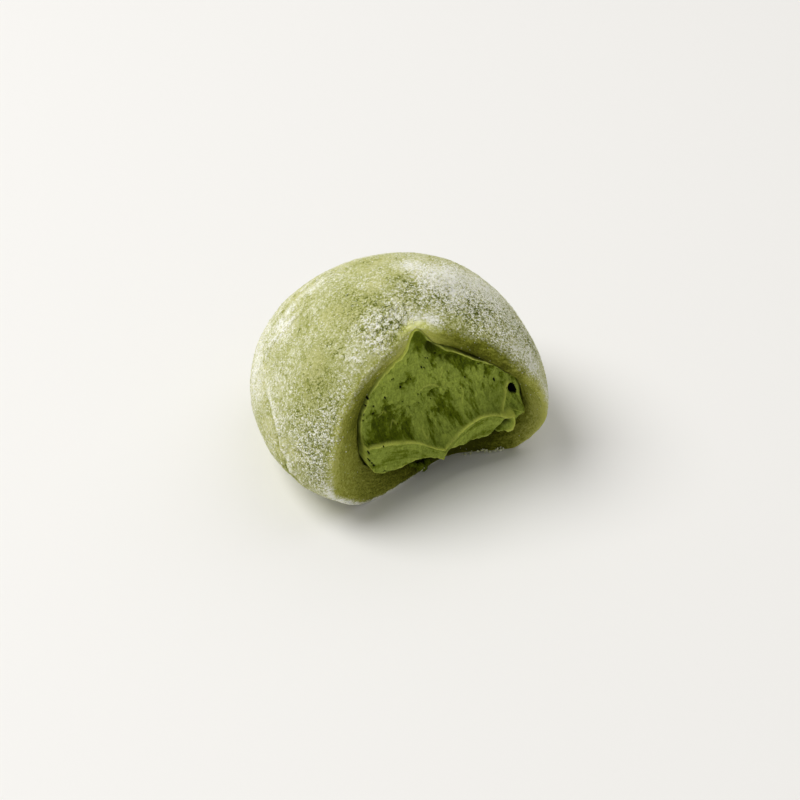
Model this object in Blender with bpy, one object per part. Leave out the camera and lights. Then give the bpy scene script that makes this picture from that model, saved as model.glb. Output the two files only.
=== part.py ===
"""A bitten matcha rice cake: a thick skin of pounded rice dough round a whipped matcha cream.

The cake is a soft ball that has settled on a flat foot. A bite has taken its front off, so it
is modelled as profiles carried round the bite's axis, which runs along Y at AXIS_HEIGHT. Each
profile starts at the back of the ball, runs over the skin to the edge of the bite, crosses the
bitten face of the skin, and comes back along the wall of the hollow that holds the cream.

The bite faces -Y, +Z is up, and the origin is on the ground in the middle of the cake's box.
Sizes are millimetres until a mesh is made, which is in metres.
"""

import bpy
import numpy as np

MM = 0.001

# the whole ball, before the bite
BALL_WIDTH = 60.8
BALL_DEPTH = 59.0
BALL_HEIGHT = 42.2
BALL_TURN = np.radians(-8.3)       # the ball's long way, turned from X
WAIST_HEIGHT = 11.3                # where the ball is widest
FOOT_RADIUS = 22.7                 # the flat patch that it rests on
FOOT_LEAN = 0.09                   # how much wider the patch is on the side it leans to
FOOT_SIDE = np.radians(5)
CROWN_POWER = 1.79                 # 2 is an ellipse, and less is more pointed
UNDER_POWER = 1.6
PLAN_POWER = 2.33
FOOT_ROUNDING = 1.2

# the skin's thickness round the cream, and the gap that keeps the two solids apart
WALL_SIDE = 7.0
WALL_TOP = 5.0
WALL_FLOOR = 4.6
FLOOR_ROUNDING = 5.0               # how widely the hollow's floor rounds into its walls
WALL_EASE = 0.45                   # the share of the hollow's depth that its rim's shape reaches
GAP = 0.3

# The bite, as twelve values round its axis: from 3 o'clock (+X), 30 degrees apart, by way of
# 12 o'clock (up) and 9 o'clock. Depths are Y from the ball's own axis, so the front is minus.
AXIS_HEIGHT = 16.0
AXIS_BACK = 5.0                    # the profiles spread from this depth on the axis
SKIN_EDGE_DEPTH = (-20.5, -21.4, -18.6, -12.4, -13.2, -15.2,
                   -19.6, -16.2, -14.2, -11.4, -9.6, -18.0)
SKIN_EDGE_ROLL = (4.0, 5.0, 5.0, 2.5, 1.5, 1.8, 1.9, 1.8, 1.5, 1.2, 1.2, 3.0)
OPENING_RADIUS = (21.0, 16.8, 15.2, 18.4, 18.3, 18.4, 16.5, 17.4, 12.3, 11.0, 11.6, 24.4)
OPENING_DEPTH = (-14.6, -15.6, -14.8, -12.2, -12.6, -13.4,
                 -14.2, -13.6, -12.0, -11.6, -11.8, -13.2)
PEAK_ANGLE = np.radians(97)        # the tear that runs up into the skin
PEAK_WIDTH = np.radians(6.5)
PEAK_RISE = 3.9                    # how far the rim runs up at the tear, and how far back
PEAK_BACK = 0.8
NOTCH_WIDTH = np.radians(8.5)      # the notch that the tear makes in the skin's outer edge
NOTCH_BACK = 2.2
BAND_TAIL = 0.3                    # how straight the bitten face runs into the rim

# the cream's face: a scoop that ends below in a lip of two lobes, with a drip between them
FACE_DEPTH = -12.0
LIP_REACH = 4.4
LIP_DROOP = 1.6                    # how far the lip hangs down where it reaches out fully
LIP_MIDDLE = 2.2                   # X of the drip
LIP_LEFT_END = -18.4
LIP_RIGHT_END = 18.7
LIP_LEAST = 0.8                    # the crest is never less than this above the hem
DRIP_BOTTOM = 4.4
DRIP_TOP = 7.0
LEFT_LOBE_RISE = 9.3               # each lobe's crest above the drip's, where it is highest, how
LEFT_LOBE_PEAK = 0.833             # wide the arch is beyond that, and how sharply it bends
LEFT_LOBE_FAR = 0.31
LEFT_LOBE_BEND = 1.7
RIGHT_LOBE_RISE = 6.4
RIGHT_LOBE_PEAK = 0.53
RIGHT_LOBE_FAR = 0.60
RIGHT_LOBE_BEND = 1.8
LEFT_HEM_RISE = 3.3                # each hem's quick rise beside the drip and its slow rise to its
LEFT_HEM_QUICK = 6                 # end, with the powers that shape them
LEFT_HEM_END = 9.8
LEFT_HEM_SLOW = 9
RIGHT_HEM_RISE = 2.85
RIGHT_HEM_QUICK = 24
RIGHT_HEM_END = 3.0
RIGHT_HEM_SLOW = 25
HEM_NOTCH_PLACE = 0.69             # the notch in the right hem, where the lip's end folds
HEM_NOTCH_WIDTH = 0.06
HEM_NOTCH_HEIGHT = 0.75
LEFT_TAPER = 12                    # powers by which the lip draws in at its two ends
RIGHT_TAPER = 24
TAPER_SHARE = 0.85
SCOOP_HEIGHT = 7.5                 # how far above the lip's crest the face starts to lean out
SCOOP_BEND = 2.6
FRONT_LEAN = 0.12                  # how much of its reach the lip's front loses down to the hem
UNDER_HEIGHT = 3.2                 # how far below the hem the lip has tucked back in, where it
UNDER_BEND = 2.0                   # reaches out fully, and the share of it that is always there
UNDER_LEAST = 0.2
RIM_SHARE = 0.08                   # the lip dies away over this share of the face at its rim
RIM_BEND = 0.7

# how finely the solids are cut, and how finely their places are searched for
SPOKES = 72
SKIN_RINGS = 24
BAND_RINGS = 5
WALL_RINGS = 10
FACE_RINGS = 18
HALVINGS = 36
NARROWEST = 0.02                   # the search for the skin's edge stops this near the axis
SLOPE_STEP = 0.03                  # the turn over which the outer skin's slope is taken


def clear_scene():
    """Removes what the scene holds."""
    for old in list(bpy.data.objects):
        bpy.data.objects.remove(old, do_unlink=True)


def round_the_clock(values, angle):
    """A smooth closed curve through the clock values: a uniform cubic B-spline in the angle."""
    values = np.array(values)
    place = (angle / (2 * np.pi) % 1.0) * len(values)
    first = np.floor(place).astype(int)
    t = place - first
    weights = ((1 - t) ** 3, 3 * t ** 3 - 6 * t ** 2 + 4, -3 * t ** 3 + 3 * t ** 2 + 3 * t + 1, t ** 3)
    return sum(w * values[(first - 1 + k) % len(values)] for k, w in enumerate(weights)) / 6


def smooth_max(a, b, width):
    """The larger of a and b, with the corner between them rounded over the width."""
    overlap = np.clip(width - np.abs(a - b), 0, None) / width
    return np.maximum(a, b) + overlap ** 2 * width / 4


def eased(share, ease=0.05):
    """0 to 1 as the share goes from 0 to 1, but starting level, so that halves join smoothly."""
    return (np.sqrt(share * share + ease * ease) - ease) / (np.sqrt(1 + ease * ease) - ease)


def ball_field(x, y, z, side=0.0, top=0.0):
    """How far a point is outside the ball, roughly in mm, with the ball thinned by a wall.

    Seen from above the ball is a superellipse. Its crown and its underside are two more, which
    meet at the waist, and the underside is cut off by the ground at the foot.
    """
    along = np.cos(BALL_TURN) * x + np.sin(BALL_TURN) * y
    across = np.cos(BALL_TURN) * y - np.sin(BALL_TURN) * x
    plan = (np.abs(along / (BALL_WIDTH / 2 - side)) ** PLAN_POWER
            + np.abs(across / (BALL_DEPTH / 2 - side)) ** PLAN_POWER) ** (1 / PLAN_POWER)
    foot = FOOT_RADIUS * (1 + FOOT_LEAN * np.cos(np.arctan2(y, x) - FOOT_SIDE))
    under_depth = WAIST_HEIGHT / (1 - (foot / (BALL_WIDTH / 2)) ** CROWN_POWER) ** (1 / UNDER_POWER)
    crown = eased((z - WAIST_HEIGHT) / (BALL_HEIGHT - top - WAIST_HEIGHT)) ** CROWN_POWER
    under = eased((WAIST_HEIGHT - z) / under_depth) ** UNDER_POWER
    height = np.where(z >= WAIST_HEIGHT, crown, under)
    return (np.sqrt(plan ** CROWN_POWER + height) - 1) * BALL_WIDTH / 2


def skin_field(x, y, z):
    """The whole cake: the ball, cut by the ground."""
    return smooth_max(ball_field(x, y, z), -z, FOOT_ROUNDING)


def hollow_field(x, y, z):
    """The hollow: the ball thinned by the skin's walls, cut by the skin's floor."""
    return smooth_max(ball_field(x, y, z, WALL_SIDE, WALL_TOP), WALL_FLOOR - z, FLOOR_ROUNDING)


def spread(polar, angle):
    """Unit directions from the axis: polar 0 is towards the bite, and angle goes round it."""
    return np.stack([np.sin(polar) * np.cos(angle), -np.cos(polar), np.sin(polar) * np.sin(angle)], -1)


def axis_point():
    return np.array([0.0, AXIS_BACK, AXIS_HEIGHT])


def surface(field, polar, angle):
    """Where the directions leave the field's shape, found by halving the distance."""
    way = spread(polar, angle)
    near = np.zeros(way.shape[:-1])
    far = np.full(way.shape[:-1], BALL_WIDTH)
    for _ in range(HALVINGS):
        middle = (near + far) / 2
        point = axis_point() + way * middle[..., None]
        inside = field(point[..., 0], point[..., 1], point[..., 2]) < 0
        near = np.where(inside, middle, near)
        far = np.where(inside, far, middle)
    return axis_point() + way * near[..., None]


def bell(distance, width):
    """A bell: 1 at no distance, about a third at its width and 0 far away."""
    return np.exp(-(distance / width) ** 2)


def at_peak(angle, width):
    """A bell of this width round the tear's angle."""
    return bell((angle - PEAK_ANGLE + np.pi) % (2 * np.pi) - np.pi, width)


def skin_edge_polar(angle):
    """The polar angle at which the skin reaches the bite's depth, found by halving."""
    depth = round_the_clock(SKIN_EDGE_DEPTH, angle) + NOTCH_BACK * at_peak(angle, NOTCH_WIDTH)
    low = np.full(angle.shape, NARROWEST)
    high = np.full(angle.shape, np.pi - NARROWEST)
    for _ in range(HALVINGS):
        middle = (low + high) / 2
        in_front = surface(skin_field, middle, angle)[..., 1] < depth
        low = np.where(in_front, middle, low)
        high = np.where(in_front, high, middle)
    return low


def opening(angle):
    """The rim of the hollow in the bitten face: the clock's curve, with the tear's peak on it."""
    peak = at_peak(angle, PEAK_WIDTH)
    radius = round_the_clock(OPENING_RADIUS, angle) + PEAK_RISE * peak
    depth = round_the_clock(OPENING_DEPTH, angle) + PEAK_BACK * peak
    return np.stack([radius * np.cos(angle), depth, AXIS_HEIGHT + radius * np.sin(angle)], -1)


def hollow_wall(angle, share, gap=0.0):
    """The hollow's wall: share 0 is its rim and 1 its back. It leaves the rim and eases back
    into the evenly thick wall over the first part of the way."""
    rim = opening(angle)
    from_axis = rim - axis_point()
    rim_polar = np.arctan2(np.hypot(from_axis[..., 0], from_axis[..., 2]), -from_axis[..., 1])
    polar = rim_polar + (np.pi - rim_polar) * share
    wall = surface(hollow_field, polar, angle) - axis_point()
    at_rim = np.linalg.norm(surface(hollow_field, rim_polar, angle) - axis_point(), axis=-1)
    ease = np.clip(1 - share / WALL_EASE, 0, 1) ** 2
    stretch = 1 + (np.linalg.norm(from_axis, axis=-1) / at_rim - 1) * ease
    length = np.linalg.norm(wall, axis=-1) * stretch - gap
    return axis_point() + spread(polar, angle) * length[..., None]


def bitten_band(angle, share):
    """The skin's bitten face, from its outer edge to the hollow's rim: a cubic Bezier curve that
    leaves the outer skin along its own slope, so the edge is rolled over."""
    polar = skin_edge_polar(angle)
    edge = surface(skin_field, polar, angle)
    slope = edge - surface(skin_field, polar + SLOPE_STEP, angle)
    slope /= np.linalg.norm(slope, axis=-1, keepdims=True)
    rim = opening(angle)
    roll = round_the_clock(SKIN_EDGE_ROLL, angle)[..., None]
    lead = edge + slope * roll
    tail = rim + (edge - rim) * BAND_TAIL
    t = share[..., None]
    return (edge * (1 - t) ** 3 + 3 * lead * t * (1 - t) ** 2 + 3 * tail * t ** 2 * (1 - t) + rim * t ** 3)


def arch(share, peak, far, bend):
    """An arch over the share: 1 at its peak, 0 at share 0 and at the far width past the peak."""
    width = np.where(share < peak, peak, far)
    return 1 - (np.abs(share - peak) / width) ** bend


def lip_shares(x):
    """How far along the left and the right lobe X is, from 0 at the drip to 1 at the lobe's end."""
    left = np.clip((LIP_MIDDLE - x) / (LIP_MIDDLE - LIP_LEFT_END), 0, 1)
    right = np.clip((x - LIP_MIDDLE) / (LIP_RIGHT_END - LIP_MIDDLE), 0, 1)
    return left, right


def hem_rise(share, rise, quick, end_rise, slow):
    """How far a hem has risen at a share of its lobe: quickly by the drip, then slowly to its end."""
    return rise * (1 - (1 - share) ** quick) + end_rise * share ** slow


def lip_lines(x):
    """The heights of the lip's crest and hem over X: two arches that meet at the drip."""
    left, right = lip_shares(x)
    left_lobe = LEFT_LOBE_RISE * arch(left, LEFT_LOBE_PEAK, LEFT_LOBE_FAR, LEFT_LOBE_BEND)
    right_lobe = RIGHT_LOBE_RISE * arch(right, RIGHT_LOBE_PEAK, RIGHT_LOBE_FAR, RIGHT_LOBE_BEND)
    crest = DRIP_TOP + np.where(x < LIP_MIDDLE, left_lobe, right_lobe)
    left_hem = hem_rise(left, LEFT_HEM_RISE, LEFT_HEM_QUICK, LEFT_HEM_END, LEFT_HEM_SLOW)
    right_hem = hem_rise(right, RIGHT_HEM_RISE, RIGHT_HEM_QUICK, RIGHT_HEM_END, RIGHT_HEM_SLOW)
    notch = HEM_NOTCH_HEIGHT * bell(right - HEM_NOTCH_PLACE, HEM_NOTCH_WIDTH)
    return crest, np.minimum(DRIP_BOTTOM + left_hem + right_hem + notch, crest - LIP_LEAST)


def lip_relief(x, z):
    """How far the cream stands out of its face: it leans out in a scoop down to the lip's crest,
    drops down the lip's front, and tucks back in under the hem. It is shaped before it droops."""
    crest, hem = (line + LIP_DROOP for line in lip_lines(x))
    left, right = lip_shares(x)
    reach = LIP_REACH * (1 - TAPER_SHARE * left ** LEFT_TAPER) * (1 - TAPER_SHARE * right ** RIGHT_TAPER)
    above = np.clip(1 - (z - crest) / SCOOP_HEIGHT, 0, 1) ** SCOOP_BEND
    on_front = 1 - FRONT_LEAN * np.clip((crest - z) / (crest - hem), 0, 1)
    tuck = UNDER_HEIGHT * (UNDER_LEAST + (1 - UNDER_LEAST) * reach / LIP_REACH)
    below = (1 - FRONT_LEAN) * np.clip(1 - (hem - z) / tuck, 0, 1) ** UNDER_BEND
    return reach * np.where(z > crest, above, np.where(z > hem, on_front, below))


def cream_face(angle, share):
    """The cream's bitten face: share 0 is its middle and 1 its rim, just inside the hollow."""
    rim = opening(angle)
    rim_radius = np.hypot(rim[..., 0], rim[..., 2] - AXIS_HEIGHT) - GAP
    x = rim_radius * share * np.cos(angle)
    z = AXIS_HEIGHT + rim_radius * share * np.sin(angle)
    base = FACE_DEPTH + (rim[..., 1] - FACE_DEPTH) * share ** 2
    push = lip_relief(x, z) * np.clip((1 - share) / RIM_SHARE, 0, 1) ** RIM_BEND
    return np.stack([x, base - push, z - LIP_DROOP * (push / LIP_REACH) ** 2], -1)


def closed_surface(rings, from_front=False):
    """Points and triangles of a closed surface over rings, whose first and last are one point.

    Every four-sided patch is cut along the same diagonal, so that the cream's back and the
    hollow's wall, which share their rings' angles, stay evenly apart.
    """
    count = rings.shape[1]
    body = rings[1:-1]
    points = np.concatenate([rings[0, :1], body.reshape(-1, 3), rings[-1, :1]])
    here = np.arange(count)
    after = (here + 1) % count
    low = 1 + np.arange(len(body) - 1)[:, None] * count
    patches = np.concatenate([
        np.stack([low + here, low + after, low + count + after], -1).reshape(-1, 3),
        np.stack([low + here, low + count + after, low + count + here], -1).reshape(-1, 3)])
    last_ring = 1 + (len(body) - 1) * count
    start_fan = np.stack([0 * here, 1 + after, 1 + here], -1)
    end_fan = np.stack([last_ring + here, last_ring + after, 0 * here + len(points) - 1], -1)
    faces = np.concatenate([start_fan, patches, end_fan])
    if from_front:
        faces = faces[:, ::-1]
    return points, faces.tolist()


def spokes():
    """The angles of the profiles, of which one runs through the tear's peak."""
    return PEAK_ANGLE + np.arange(SPOKES) * 2 * np.pi / SPOKES


def skin_rings():
    """The skin's rings, from the back of the ball to the bite and back along the hollow."""
    angle = spokes()
    edge_polar = skin_edge_polar(angle)
    outer = [surface(skin_field, np.pi + (edge_polar - np.pi) * k / SKIN_RINGS, angle)
             for k in range(SKIN_RINGS)]
    band = [bitten_band(angle, np.full(SPOKES, k / BAND_RINGS)) for k in range(BAND_RINGS)]
    wall = [hollow_wall(angle, np.full(SPOKES, k / WALL_RINGS)) for k in range(WALL_RINGS + 1)]
    return np.array(outer + band + wall)


def cream_rings():
    """The cream's rings, from the middle of its face to its rim and round to its back."""
    angle = spokes()
    face = [cream_face(angle, np.full(SPOKES, k / FACE_RINGS)) for k in range(FACE_RINGS + 1)]
    back = [hollow_wall(angle, np.full(SPOKES, k / WALL_RINGS), GAP) for k in range(1, WALL_RINGS + 1)]
    return np.array(face + back)


def material(name, colour, roughness):
    """A plain Principled material."""
    made = bpy.data.materials.new(name)
    made.use_nodes = True
    shader = made.node_tree.nodes["Principled BSDF"]
    shader.inputs["Base Color"].default_value = (*colour, 1.0)
    shader.inputs["Roughness"].default_value = roughness
    shader.inputs["Metallic"].default_value = 0.0
    return made


def add_solid(name, points, faces, finish):
    """One named object from its points in mm, shaded smooth."""
    mesh = bpy.data.meshes.new(name)
    mesh.from_pydata((points * MM).tolist(), [], faces)
    mesh.shade_smooth()
    mesh.set_sharp_from_angle(angle=np.radians(50))
    mesh.materials.append(finish)
    solid = bpy.data.objects.new(name, mesh)
    bpy.context.collection.objects.link(solid)
    return solid


def build():
    clear_scene()
    skin, skin_faces = closed_surface(skin_rings())
    cream, cream_faces = closed_surface(cream_rings(), from_front=True)
    skin[:, 2] = np.where(skin[:, 2] < 1e-4, 0.0, skin[:, 2])
    middle = (skin.min(axis=0) + skin.max(axis=0)) / 2 * (1, 1, 0)
    add_solid("mochi_skin", skin - middle, skin_faces,
              material("dusted rice dough", (0.42, 0.46, 0.22), 0.7))
    add_solid("matcha_cream", cream - middle, cream_faces,
              material("matcha cream", (0.11, 0.14, 0.015), 0.55))


build()
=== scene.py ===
# %% [markdown]
# # A bitten matcha rice cake, dressed
# A matcha daifuku is a ball of pounded rice dough round a whipped matcha cream. Starch keeps the
# dough from sticking, so the outside is powdered: thick and crusty in some places, rubbed thin in
# others. A bite has taken the front off and shows the bare, slightly moist dough and the cream,
# which the teeth have smeared into a scoop with a drooping lip below.
#
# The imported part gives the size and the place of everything. This script makes each of its solids
# again at a much finer resolution, adds the relief and the loose bits, and gives each its finish.

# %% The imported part
import bmesh
import bpy
import numpy as np
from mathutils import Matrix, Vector


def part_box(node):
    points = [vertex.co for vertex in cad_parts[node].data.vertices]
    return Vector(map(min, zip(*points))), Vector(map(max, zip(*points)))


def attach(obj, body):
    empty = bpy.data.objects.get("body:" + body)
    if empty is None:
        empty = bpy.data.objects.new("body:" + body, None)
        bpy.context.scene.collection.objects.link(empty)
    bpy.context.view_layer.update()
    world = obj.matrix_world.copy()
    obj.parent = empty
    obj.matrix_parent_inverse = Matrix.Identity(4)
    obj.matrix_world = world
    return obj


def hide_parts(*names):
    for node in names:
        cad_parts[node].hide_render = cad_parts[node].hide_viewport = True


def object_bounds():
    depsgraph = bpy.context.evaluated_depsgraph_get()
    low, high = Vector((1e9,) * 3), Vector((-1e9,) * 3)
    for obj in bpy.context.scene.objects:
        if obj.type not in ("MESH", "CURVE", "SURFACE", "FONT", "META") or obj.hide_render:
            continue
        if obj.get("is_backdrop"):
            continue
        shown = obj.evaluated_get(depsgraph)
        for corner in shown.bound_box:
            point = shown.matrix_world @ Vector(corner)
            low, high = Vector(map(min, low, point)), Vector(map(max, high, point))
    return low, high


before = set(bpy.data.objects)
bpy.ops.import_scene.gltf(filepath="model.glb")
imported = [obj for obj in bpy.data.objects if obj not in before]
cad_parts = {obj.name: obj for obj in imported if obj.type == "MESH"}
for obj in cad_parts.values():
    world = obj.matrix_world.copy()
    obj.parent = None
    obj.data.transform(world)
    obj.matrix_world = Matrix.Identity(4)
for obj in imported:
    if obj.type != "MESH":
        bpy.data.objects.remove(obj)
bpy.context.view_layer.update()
skin_low, skin_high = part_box("mochi_skin")
MM = 0.001
print("nodes", sorted(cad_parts))

# %% [markdown]
# ## The ball
# The cake is a ball that has settled under its own weight: a superellipse seen from above, with a
# crown and a flatter underside that meet at a waist. A field says how far any point is outside
# that shape, so one root search finds the surface in any direction. The sizes are the ones the
# solids have, in millimetres round the ball's own upright axis, and everything moves into the
# part's frame at the end.

# %% The ball as a field
BALL_WIDTH, BALL_DEPTH, BALL_HEIGHT = 60.8, 59.0, 42.2
BALL_TURN = np.radians(-8.3)
WAIST_HEIGHT = 11.3
FOOT_RADIUS, FOOT_LEAN, FOOT_SIDE = 22.7, 0.09, np.radians(5)
CROWN_POWER, UNDER_POWER, PLAN_POWER = 1.79, 1.6, 2.33
FOOT_ROUNDING, FLOOR_ROUNDING = 1.2, 5.0
WALL_SIDE, WALL_TOP, WALL_FLOOR = 7.0, 5.0, 4.6
AXIS_POINT = np.array([0.0, 5.0, 16.0])


def smooth_max(a, b, width):
    """The larger of a and b, plus a quarter of the width times the square of their overlap."""
    overlap = np.clip(width - np.abs(a - b), 0, None) / width
    return np.maximum(a, b) + overlap ** 2 * width / 4


def eased(share, ease=0.05):
    """The square root of share squared plus ease squared, moved and scaled to run from 0 to 1."""
    return (np.sqrt(share * share + ease * ease) - ease) / (np.sqrt(1 + ease * ease) - ease)


def ball_field(points, side=0.0, top=0.0):
    """Distance outside the ball: half its width times the superellipsoid's radius less one."""
    x, y, z = np.moveaxis(points, -1, 0)
    along = np.cos(BALL_TURN) * x + np.sin(BALL_TURN) * y
    across = np.cos(BALL_TURN) * y - np.sin(BALL_TURN) * x
    plan = (np.abs(along / (BALL_WIDTH / 2 - side)) ** PLAN_POWER
            + np.abs(across / (BALL_DEPTH / 2 - side)) ** PLAN_POWER) ** (1 / PLAN_POWER)
    foot = FOOT_RADIUS * (1 + FOOT_LEAN * np.cos(np.arctan2(y, x) - FOOT_SIDE))
    under_depth = WAIST_HEIGHT / (1 - (foot / (BALL_WIDTH / 2)) ** CROWN_POWER) ** (1 / UNDER_POWER)
    crown = eased((z - WAIST_HEIGHT) / (BALL_HEIGHT - top - WAIST_HEIGHT)) ** CROWN_POWER
    under = eased((WAIST_HEIGHT - z) / under_depth) ** UNDER_POWER
    height = np.where(z >= WAIST_HEIGHT, crown, under)
    return (np.sqrt(plan ** CROWN_POWER + height) - 1) * BALL_WIDTH / 2


def skin_field(points):
    """The ball's field joined with the ground's, which is minus the height."""
    return smooth_max(ball_field(points), -points[..., 2], FOOT_ROUNDING)


def hollow_field(points):
    """The thinned ball's field joined with the hollow's floor."""
    thinned = ball_field(points, WALL_SIDE, WALL_TOP)
    return smooth_max(thinned, WALL_FLOOR - points[..., 2], FLOOR_ROUNDING)


def spread(polar, angle):
    """Unit directions: sine of polar round the bite's axis, and minus its cosine along Y."""
    return np.stack([np.sin(polar) * np.cos(angle), -np.cos(polar), np.sin(polar) * np.sin(angle)], -1)


def surface(field, polar, angle, halvings=30):
    """Points where the directions leave the field's shape, by halving the distance again and again."""
    way = spread(polar, angle)
    near, far = np.zeros(way.shape[:-1]), np.full(way.shape[:-1], BALL_WIDTH)
    for _ in range(halvings):
        middle = (near + far) / 2
        inside = field(AXIS_POINT + way * middle[..., None]) < 0
        near, far = np.where(inside, middle, near), np.where(inside, far, middle)
    return AXIS_POINT + way * near[..., None]


print("crown at", surface(skin_field, np.array([np.pi / 2]), np.array([np.pi / 2])).round(2))

# %% [markdown]
# ## The bite
# A bite isn't round, so its edge, its rolled lip of skin and the rim of the hollow are each twelve
# values round the clock, joined by a smooth closed curve. A narrow bell on top of the rim makes
# the tear that runs up into the skin. Teeth leave a ragged line, so a little noise goes round too.

# %% The bite round the clock
SKIN_EDGE_DEPTH = (-20.5, -21.4, -18.6, -12.4, -13.2, -15.2, -19.6, -16.2, -14.2, -11.4, -9.6, -18.0)
SKIN_EDGE_ROLL = (4.0, 5.0, 5.0, 2.5, 1.5, 1.8, 1.9, 1.8, 1.5, 1.2, 1.2, 3.0)
OPENING_RADIUS = (21.0, 16.8, 15.2, 18.4, 18.3, 18.4, 16.5, 17.4, 12.3, 11.0, 11.6, 24.4)
OPENING_DEPTH = (-14.6, -15.6, -14.8, -12.2, -12.6, -13.4, -14.2, -13.6, -12.0, -11.6, -11.8, -13.2)
PEAK_AT, PEAK_WIDTH, PEAK_RISE, PEAK_BACK = 97, np.radians(6.5), 3.9, 0.8   # degrees, radians, mm, mm
NOTCH_WIDTH, NOTCH_BACK = np.radians(8.5), 2.2
RAGGED_EDGE, RAGGED_RIM = 0.22, 0.25    # mm, before the waves are added up
EASE_SHARE = 0.45                       # the share of the hollow's depth that the rim's shape reaches
BAND_TAIL = 0.3                         # the share of the bitten face over which it turns into the rim
POLE_MARGIN, SLOPE_STEP = 0.02, 0.03    # radians


def round_the_clock(values, angle):
    """A uniform cubic B-spline in the angle through twelve values 30 degrees apart."""
    values = np.array(values)
    place = (angle / (2 * np.pi) % 1.0) * len(values)
    first = np.floor(place).astype(int)
    t = place - first
    weights = ((1 - t) ** 3, 3 * t ** 3 - 6 * t ** 2 + 4, -3 * t ** 3 + 3 * t ** 2 + 3 * t + 1, t ** 3)
    return sum(w * values[(first - 1 + k) % len(values)] for k, w in enumerate(weights)) / 6


def ragged(angle, size, seed):
    """A sum of sines of the angle with random phases, from 5 to 60 waves round, each weaker."""
    rng = np.random.default_rng(seed)
    waves = np.arange(5, 61, 5)
    phases = rng.uniform(0, 2 * np.pi, len(waves))
    parts = np.sin(angle[..., None] * waves + phases) / waves ** 0.8
    return size * parts.sum(-1)


def bell(distance, width):
    """The Gaussian bell: e to the minus square of distance over width."""
    return np.exp(-(distance / width) ** 2)


def turned(angle, middle):
    """The angle measured from the middle one, from minus half a turn to plus half a turn."""
    return (angle - middle + np.pi) % (2 * np.pi) - np.pi


def by_clock(angle, degrees, width):
    """A bell in the angle, with its middle in degrees and its width in radians."""
    return bell(turned(angle, np.radians(degrees)), width)


def skin_edge_polar(angle, halvings=24):
    """The polar angle at which the outer skin reaches the bite's depth, by halving."""
    depth = (round_the_clock(SKIN_EDGE_DEPTH, angle) + ragged(angle, RAGGED_EDGE, seed=3)
             + NOTCH_BACK * by_clock(angle, PEAK_AT, NOTCH_WIDTH))
    low, high = np.full(angle.shape, POLE_MARGIN), np.full(angle.shape, np.pi - POLE_MARGIN)
    for _ in range(halvings):
        middle = (low + high) / 2
        in_front = surface(skin_field, middle, angle)[..., 1] < depth
        low, high = np.where(in_front, middle, low), np.where(in_front, high, middle)
    return low


def opening(angle):
    """The hollow's rim: radius and depth by the clock, with the tear's bell on the radius."""
    peak = by_clock(angle, PEAK_AT, PEAK_WIDTH)
    radius = round_the_clock(OPENING_RADIUS, angle) + ragged(angle, RAGGED_RIM, seed=5)
    radius = radius + PEAK_RISE * peak
    depth = round_the_clock(OPENING_DEPTH, angle) + PEAK_BACK * peak
    return np.stack([radius * np.cos(angle), depth, AXIS_POINT[2] + radius * np.sin(angle)], -1)


def hollow_wall(angle, share, gap=0.0):
    """The hollow's surface from its rim to its back: the thinned ball, stretched to meet the rim,
    with the stretch dying away as the square of what is left of the first part of the way."""
    rim = opening(angle)
    from_axis = rim - AXIS_POINT
    rim_polar = np.arctan2(np.hypot(from_axis[..., 0], from_axis[..., 2]), -from_axis[..., 1])
    polar = rim_polar + (np.pi - rim_polar) * share
    wall = surface(hollow_field, polar, angle) - AXIS_POINT
    at_rim = np.linalg.norm(surface(hollow_field, rim_polar, angle) - AXIS_POINT, axis=-1)
    ease = np.clip(1 - share / EASE_SHARE, 0, 1) ** 2
    stretch = 1 + (np.linalg.norm(from_axis, axis=-1) / at_rim - 1) * ease
    length = np.linalg.norm(wall, axis=-1) * stretch - gap
    return AXIS_POINT + spread(polar, angle) * length[..., None]


def bitten_band(angle, share):
    """The skin's bitten face: a cubic Bezier curve that leaves the outer skin along its slope."""
    polar = skin_edge_polar(angle)
    edge = surface(skin_field, polar, angle)
    slope = edge - surface(skin_field, polar + SLOPE_STEP, angle)
    slope /= np.linalg.norm(slope, axis=-1, keepdims=True)
    rim = opening(angle)
    lead = edge + slope * round_the_clock(SKIN_EDGE_ROLL, angle)[..., None]
    tail = rim + (edge - rim) * BAND_TAIL
    t = share[..., None]
    return edge * (1 - t) ** 3 + 3 * lead * t * (1 - t) ** 2 + 3 * tail * t ** 2 * (1 - t) + rim * t ** 3


clock = np.radians(np.arange(0, 360, 90))
print("edge of the skin", surface(skin_field, skin_edge_polar(clock), clock).round(1).tolist())

# %% [markdown]
# ## Where the camera, the floor and the lights go
# The cake stands on a plain pale floor. One large soft light comes from behind it and a little to
# its left, so the bitten side is in soft shade. A bright plain surround fills the shadows, and a
# weak second light from the right keeps the starch there white. These come first, because every
# later step is judged through them.

# %% Floor, lights and camera
FLOOR_HALF, FLOOR_COLOUR, FLOOR_ROUGHNESS = 3.0, (0.86, 0.855, 0.84), 0.6
SURROUND_COLOUR, SURROUND_STRENGTH = (1.0, 0.985, 0.96, 1.0), 0.33
LIGHTS = (                   # a name, how wide in metres, watts, colour, place in metres
    ("key", 1.16, 21.8, (1.0, 0.99, 0.975), (-0.742, 0.539, 1.33)),
    ("fill", 1.5, 4.2, (1.0, 0.985, 0.95), (0.95, 0.25, 1.20)))
LIGHTS_AIM = (0.0, 0.0, 0.02)
CAMERA_PLACE, CAMERA_AIM = (-133.7203, -241.9967, 248.0699), (0.2161, -0.3691, 10.0)    # mm
LENS, SENSOR_WIDTH, NEAREST = 77.97, 36.0, 0.01
BOX_STEPS = 200

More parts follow.
